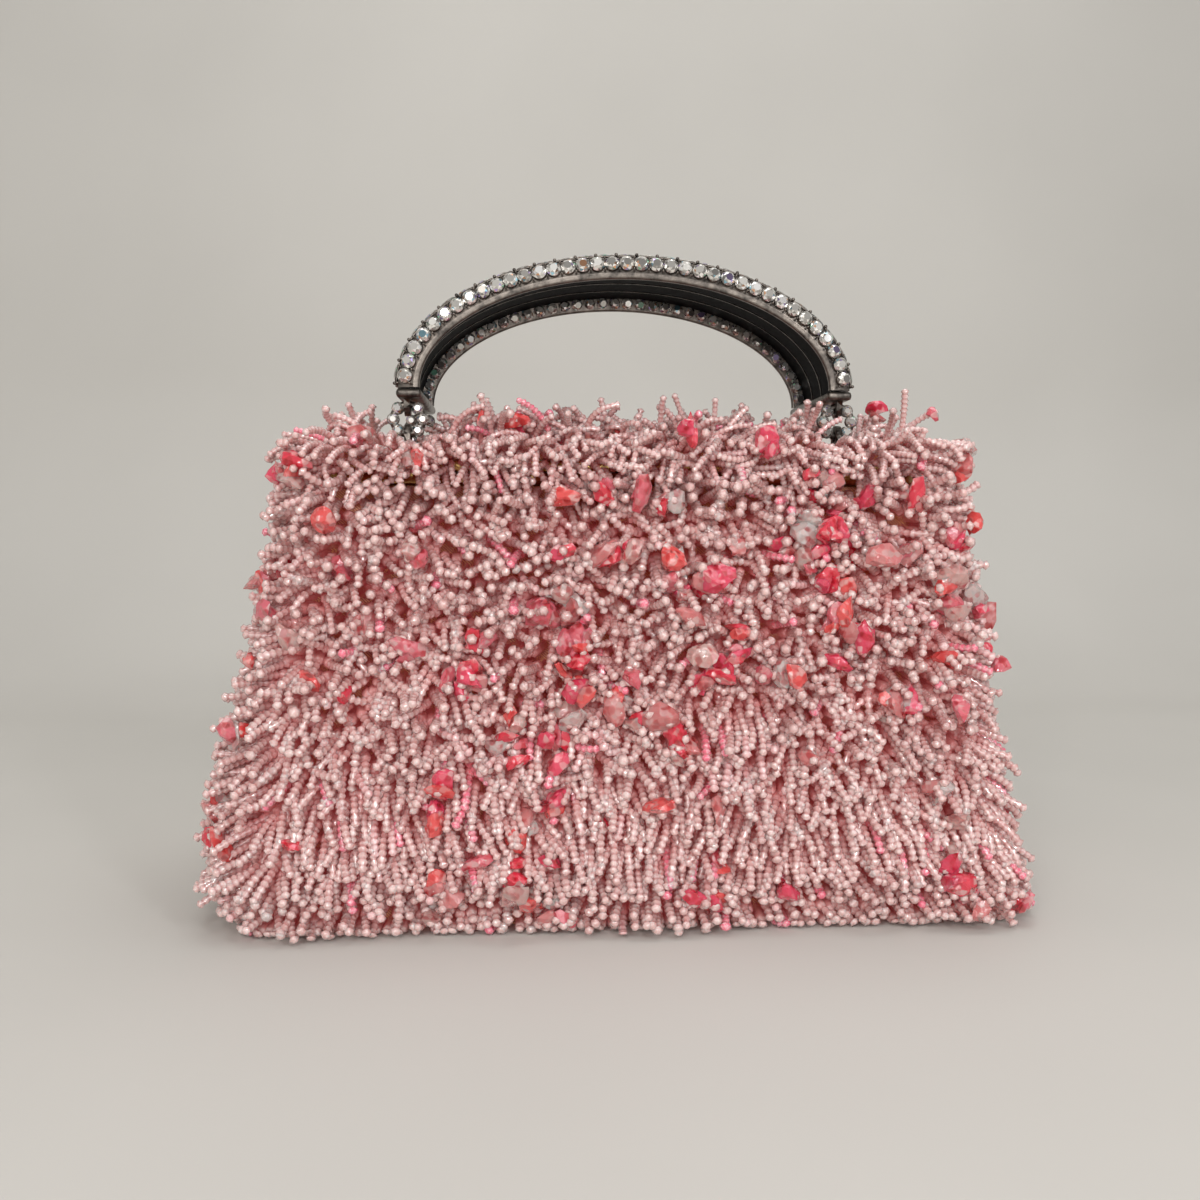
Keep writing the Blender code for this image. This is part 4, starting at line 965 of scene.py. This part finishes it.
def skirt_field():
    """Four rows of strands round the lid's front and ends, rooted on its edge."""
    rng = np.random.default_rng(8)
    half, corner = LID_EDGE, 10 * MM
    length = 2 * half[0] + 4 * half[1]
    count = round(length / SKIRT_PITCH)
    roots, outs = [], []
    for drop, shift in ((SKIRT_DROP, 0.0), (3.1 * MM, 0.5), (1.6 * MM, 0.25), (0.0, 0.75)):
        at = (np.arange(count) + shift) / count * length + rng.normal(0, 0.4 * MM, count)
        x = np.clip(at - 2 * half[1], 0, 2 * half[0]) - half[0]
        y = np.where(at < 2 * half[1], half[1] - at,
                     np.where(at > 2 * half[1] + 2 * half[0],
                              -half[1] + at - 2 * half[1] - 2 * half[0], -half[1]))
        nx = np.clip((np.abs(x) - half[0] + corner) / corner, 0, 1) * np.sign(x)
        ny = -np.clip((corner - (y + half[1])) / corner, 0, 1)
        roots.append(stacked(x, y, LID_TOP - drop))
        outs.append(unit(stacked(nx, np.where(np.abs(nx) + np.abs(ny) < 0.1, -1, ny), 0.15)))
    root, out = np.concatenate(roots), np.concatenate(outs)
    total = len(root)
    bell = partial(rng.standard_normal, total)
    sunk = (LID_TOP - root[:, 2]) / SKIRT_DROP
    first = -30 + 50 * sunk + 10 * bell()
    last = 70 + 28 * sunk + 14 * drift(root, 26 * MM, 14) + 18 * bell()
    slant = np.radians(22 * drift(root, 24 * MM, 12) + 34 * bell())
    field = bent(first, last, slant, 46 * bell())
    count = np.round(11.8 + 1.3 * bell()).clip(8, 15).astype(int)
    loop = rng.random(total) < 0.15
    field["lean"][loop, 1] = np.radians(rng.uniform(165, 230, loop.sum()))
    return {**field, "root": root - out * 0.8 * MM, "out": out,
            "fall": unit(DOWN - (out @ DOWN)[:, None] * out), "count": count,
            "tint": kinds(root, rng), "grain": 0.84, "cone": np.full(total, 0.15),
            "hidden": np.full(total, BARE), "clear": 2.3 * MM,
            "above": (*(LID_EDGE - 1 * MM), LID_TOP + 1 * MM)}


def mat_field():
    """Strands over the lid's top, combed towards its nearest edge and lying nearly flat."""
    rng = np.random.default_rng(9)
    x, y = np.meshgrid(np.arange(-76 * MM, 76.5 * MM, MAT_PITCH),
                       np.arange(-22 * MM, 22.5 * MM, MAT_ROWS), indexing="ij")
    x = x + np.where(np.round(y / MAT_ROWS).astype(int) % 2, MAT_PITCH / 2, 0)
    x, y = (grid.ravel() + rng.normal(0, 0.6 * MM, grid.size) for grid in (x, y))
    away = np.abs(np.abs(x) - LINK_X)
    x, y, away = (row[away > LINK_ROOM] for row in (x, y, away))
    total = len(x)
    root = stacked(x, y, LID_TOP + 0.3 * MM)
    tilt = 0.12
    out = unit(stacked(x / (75 * MM) * tilt, y / (24 * MM) * tilt, 1.0))
    comb = stacked(np.where(np.abs(x) > LINK_X, np.sign(x) * 1.4, x / (70 * MM) * 0.5),
                   np.where(np.abs(y) < 6 * MM, y / (6 * MM), np.sign(y)), 0)
    fall = unit(comb - (comb * out).sum(axis=1, keepdims=True) * out)
    bell = partial(rng.standard_normal, total)
    first = 20 + 14 * bell()
    last = 108 + 12 * drift(root, 24 * MM, 33) + 30 * bell()
    slant = np.radians(45 * drift(root, 30 * MM, 31) + 38 * bell())
    field = bent(first, last, slant, 70 * bell())
    count = np.round(12 + 1.3 * bell()).clip(8, 15).astype(int)
    stray = rng.random(total) < 0.05
    field["lean"][stray, 1] = np.radians(rng.uniform(10, 40, stray.sum()))
    loop = ~stray & (rng.random(total) < 0.2)
    field["lean"][loop, 1] = np.radians(rng.uniform(165, 230, loop.sum()))
    toward = x + count * BEAD_PITCH * 0.6 * np.sin(field["lean"][:, 1]) * fall[:, 0]
    blocked = (np.abs(np.abs(toward) - LINK_X) < 6 * MM) & (away < 20 * MM)
    return {**field, "root": root, "out": out, "fall": fall,
            "count": np.where(blocked, np.minimum(count, 8), count), "tint": kinds(root, rng),
            "grain": 0.8, "cone": np.full(total, 0.2), "hidden": np.full(total, HIDDEN),
            "clear": 0.0, "above": (*(LID_EDGE + 1 * MM), LID_TOP + 1.2 * MM)}


skirt = skirt_field()
ends = np.abs(skirt["out"][:, 0]) > 0.72
for name, mask, seed in (("front", ~ends, 301), ("left", ends & (skirt["out"][:, 0] < 0), 302),
                         ("right", ends & (skirt["out"][:, 0] > 0), 304)):
    tip_sets["lid"].append(make_strands(f"lid_{name}_strands", "lid", [f"lid_{name}_fringe"],
                                        picked(skirt, mask), seed))
tip_sets["top"].append(make_strands(
    "lid_top_strands", "lid", ["lid_top_fringe", "lid_left_mat", "lid_right_mat"], mat_field(), 310))

# Stone chips.
# Tumbled chips of coral, red, rose and clear glass, 5 to 10 mm long, drilled and strung in ones,
# twos and threes at the ends of about one strand in eighteen, mostly in clusters.

FLAW = 1.6 * MM


def chip_glass():
    """Tinted clear glass: a colour for each chip, deeper in random patches, and pale painted glints
    where flaws would catch light.
    """
    made, tree = blank("tumbled tinted glass")
    chip = own_values(tree, "chip")
    colour = ramp(tree, chip, [
        (0.0, "#F23E55"), (0.16, "#FA5E5C"), (0.32, "#F34A6A"), (0.5, "#F97A88"),
        (0.64, "#FA9E9C"), (0.8, "#FCD0C8"), (0.91, "#FFEDE8")], "CONSTANT")
    place = add(tree, "TexCoord").outputs["Object"]
    panes = add(tree, "TexVoronoi", {"feature": "SMOOTH_F1"}, {
        "Vector": place, "Scale": 1 / FLAW, "Smoothness": 0.75}).outputs["Color"]
    pane = add(tree, "SeparateXYZ", None, {"Vector": panes})
    # Painted highlight: pale patches in some panes stand in for flaws catching light.
    painted_glint = ranged(tree, pane, 0.52, 0.85, 0.0, 0.6)
    bright = blended(tree, painted_glint, colour, linear("#FFE0DA"))
    sunk = ranged(tree, pane.outputs["Y"], 0.4, 1.0, 0.0, 0.85)
    tinted = blended(tree, sunk, bright, linear("#DE606A"), "MULTIPLY")
    askew = add(tree, "VectorMath", {"operation": "MULTIPLY_ADD"}, {
        0: panes, 1: (0.9,) * 3, 2: (-0.45,) * 3})
    leaning = add(tree, "VectorMath", {"operation": "ADD"}, {
        0: add(tree, "NewGeometry").outputs["Normal"], 1: askew})
    facing = add(tree, "VectorMath", {"operation": "NORMALIZE"}, {0: leaning})
    cloud = noise(tree, place, FLAW, 4.0, 0.6)
    rough = ranged(tree, cloud, 0.3, 0.7, 0.03, 0.14)
    bump = add(tree, "Bump", None, {
        "Height": cloud, "Strength": 0.5, "Distance": 0.4 * MM, "Normal": facing})
    clear = ranged(tree, chip, 0.4, 0.9, 0.25, 0.6)
    close(tree, {"Base Color": tinted, "Roughness": rough, "IOR": 1.5,
                 "Normal": bump, "Transmission Weight": clear, "Subsurface Weight": 0.4,
                 "Subsurface Radius": (1.0, 0.35, 0.35), "Subsurface Scale": 1.5 * MM,
                 "Coat Weight": 1.0, "Coat Roughness": 0.03, "Coat Normal": bump})
    return made


def sphere_plan():
    """A once-divided icosahedron of 42 directions and 80 faces, its new corners on the sphere."""
    ratio = (1 + 5 ** 0.5) / 2
    a, b = np.meshgrid([-1, 1], [-ratio, ratio], indexing="ij")
    flat = stacked(0, a.ravel(), b.ravel())
    points = unit(np.concatenate([flat, np.roll(flat, 1, axis=1), np.roll(flat, 2, axis=1)]))
    near = np.linalg.norm(points[:, None] - points[None], axis=-1) < 1.1
    a, b, c = np.nonzero(near[:, :, None] & near[None] & near[:, None, :])
    some = (a < b) & (b < c)
    faces = stacked(a[some], b[some], c[some])
    corner = points[faces]
    turned = (np.cross(corner[:, 1] - corner[:, 0], corner[:, 2] - corner[:, 0])
              * corner[:, 0]).sum(axis=1) < 0
    faces[turned] = faces[turned][:, ::-1]
    pairs = np.sort(faces[:, [0, 1, 1, 2, 2, 0]].reshape(-1, 2), axis=1)
    edges, at = np.unique(pairs, axis=0, return_inverse=True)
    at = at.reshape(-1, 3) + len(points)
    points = np.concatenate([points, unit(points[edges].sum(axis=1))])
    split = [stacked(faces[:, k], at[:, k], at[:, k - 1]) for k in range(3)]
    return points, np.concatenate([*split, at])


# Facets that meet at more than WORN_EDGE keep a crisp line between them, flatter ones run together.
WORN_EDGE = math.radians(24)
CUTS = 11
LEAST_COSINE, FURTHEST = 0.05, 1.35
LOWEST_CHIP = 4.6 * MM


def make_chips(name, body, replaced, places, aims, seed):
    """Chips: a sphere cut back by random planes, which a high power mean of reaches wears round.

    One that would reach into the floor or the lid it lies on is lifted clear of it."""
    rng = np.random.default_rng(seed)
    total = len(places)
    directions, faces = sphere_plan()
    planes = unit(rng.normal(size=(total, CUTS, 3)))
    depth = rng.uniform(0.5, 0.95, (total, CUTS))
    cosine = np.einsum("dk,npk->npd", directions, planes)
    room = np.where(cosine > LEAST_COSINE, depth[:, :, None] / np.maximum(cosine, LEAST_COSINE), 9)
    reach = np.minimum((room ** -24.0).sum(axis=1) ** (-1 / 24), FURTHEST)
    size = rng.uniform(3.0, 4.8, (total, 1)) * MM * stacked(
        rng.uniform(0.8, 1.2, total), rng.uniform(0.7, 1.0, total), rng.uniform(0.5, 0.7, total))
    shape = directions[None] * reach[..., None] * size[:, None]
    across = unit(np.cross(unit(rng.normal(size=(total, 3))), aims))
    up = np.cross(aims, across)
    points = (shape[..., :1] * across[:, None] + shape[..., 1:2] * up[:, None]
              + shape[..., 2:] * aims[:, None]) + places[:, None]
    over = (np.abs(places[:, :2]) < LID_EDGE + 2 * MM).all(axis=1) & (places[:, 2] > LID_TOP)
    bottom = np.where(over, LID_TOP + 0.5 * MM, 0.4 * MM)[:, None]
    points[..., 2] += np.maximum(bottom - points[..., 2].min(axis=1, keepdims=True), 0)
    held = np.repeat(rng.random((total, 3)), len(directions), axis=0)
    chips = surface(name, body, chips_finish, "pink_beads", points,
                    [repeated(faces, total, len(directions))], True, {"chip": ("POINT", held)})
    chips.data.set_sharp_from_angle(angle=WORN_EDGE)
    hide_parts(replaced)


def strung(tips, aims, rng):
    """Places of one to three chips on each chosen strand, the next ones set back along it."""
    places, headings = [tips - 0.7 * MM * aims], [aims]
    for share, back in ((0.5, 2.9 * MM), (0.15, 5.0 * MM)):
        more = rng.random(len(tips)) < share
        side = unit(np.cross(aims[more], rng.normal(size=(more.sum(), 3))))
        places.append(tips[more] - back * aims[more] + 0.8 * MM * side)
        headings.append(unit(aims[more] + 0.5 * side))
    return np.concatenate(places), np.concatenate(headings)


# Broken glass, tumbled until its edges are soft: wet highlights on flat faces, colour deeper in random
# patches, and inner flaws whose pale flashes are painted highlights.
chips_finish = chip_glass()
rng = np.random.default_rng(4)
for name, sets in tip_sets.items():
    tips, aims = (np.concatenate(rows) for rows in zip(*sets))
    share = {"top": 0.025, "lid": 0.035}.get(name, 0.055)
    chance = share * np.clip(0.8 + 2.4 * drift(tips, 24 * MM, 55), 0.06, 5)
    chance *= 0.65 + 0.7 * np.clip(tips[:, 2] / BODY_HEIGHT, 0, 1)
    chosen = rng.random(len(tips)) < chance
    tips[:, 2] = np.maximum(tips[:, 2], LOWEST_CHIP)
    replaced = {"lid": "lid_front_fringe", "top": "lid_top_fringe"}.get(name, name + "_fringe")
    make_chips(name + "_chips", "lid" if name in ("lid", "top") else "bag", replaced,
               *strung(tips[chosen], unit(aims[chosen]), rng), 60 + len(name))

# Floor, light and camera.
# A plain pale sweep under soft studio lamps: a large key from the front left, a fill, a front and
# a top light, and four small lamps that the stones, the beads and the metal pick up.


def make_sweep():
    """A floor that curves up into a wall behind: a line, a quarter round and a line."""
    turn = np.linspace(0, np.pi / 2, 24)
    radius, back, reach = 0.22, 0.3, 2.5
    depth = np.concatenate([[-reach], back + radius * np.sin(turn), [back + radius]])
    height = np.concatenate([[0], radius * (1 - np.cos(turn)), [reach]])
    points = stacked(np.array([[-3.0], [3.0]]), depth, height)
    # Uncoated paper, rolled smooth: no gloss, and a tone that hardly wanders, so the bag stands out.
    made, tree = blank("matt pale paper")
    place = add(tree, "TexCoord").outputs["Object"]
    tone = noise(tree, place, 1 / 3, 3.0, 0.5)
    colour = ramp(tree, tone, [(0.3, "#C6C3BD"), (0.7, "#CFCCC6")])
    close(tree, {"Base Color": colour, "Roughness": 0.8})
    mesh = bpy.data.meshes.new("pale_sweep")
    faces = weave(2, points.shape[1], False)[:, ::-1]
    mesh.from_pydata(points.reshape(-1, 3).tolist(), [], faces.tolist())
    mesh.materials.append(made)
    mesh.shade_smooth()
    linked("pale_sweep", mesh)


def lamp(name, place, aim, size, power, colour="#FFFFFF"):
    """A square soft lamp turned to face a point at this height in the bag's middle."""
    light = bpy.data.lights.new(name, "AREA")
    light.shape, light.size, light.energy = "SQUARE", size, power
    light.color = linear(colour)[:3]
    stand = linked(name, light)
    heading = np.array((0, 0, aim)) - np.array(place)
    flat = math.hypot(heading[0], heading[1])
    stand.location = place
    stand.rotation_euler = (math.atan2(flat, -heading[2]), 0, math.atan2(-heading[0], heading[1]))


make_sweep()
lamp("key_lamp", (-0.8, -1.2, 1.0), 0.08, 0.5, 2.6, "#FFF9F2")
lamp("fill_lamp", (1.1, -1.2, 0.75), 0.09, 0.8, 2.9, "#F5F8FF")
lamp("front_lamp", (-0.03, -1.1, 0.4), 0.1, 0.6, 2.1)
lamp("top_lamp", (0.1, 0.05, 1.1), 0.1, 0.7, 3.2)
lamp("spark_left", (-0.28, -0.7, 0.3), 0.12, 0.07, 0.8)
lamp("spark_right", (0.35, -0.6, 0.45), 0.12, 0.07, 0.8)
lamp("spark_high", (-0.05, -0.75, 0.6), 0.08, 0.07, 0.8)
lamp("spark_low", (0.1, -0.8, 0.12), 0.1, 0.07, 0.4)

world = bpy.data.worlds.new("soft room")
bpy.context.scene.world = world
world.use_nodes = True
backdrop = world.node_tree.nodes["Background"].inputs
backdrop["Color"].default_value = linear("#D6D5D3")
backdrop["Strength"].default_value = 0.62
bpy.context.scene.view_settings.view_transform = "Standard"

FOCUS_PX, FRAME_PX = 1109, 1200
camera = bpy.data.cameras.new("camera")
camera.sensor_width = 36.0
camera.lens = camera.sensor_width * FOCUS_PX / FRAME_PX
eye = linked("camera", camera)
eye.location = (-0.0255, -0.3255, 0.104)
eye.rotation_euler = (math.radians(90 - 3.6), 0, math.radians(-3.45))
bpy.context.scene.camera = eye
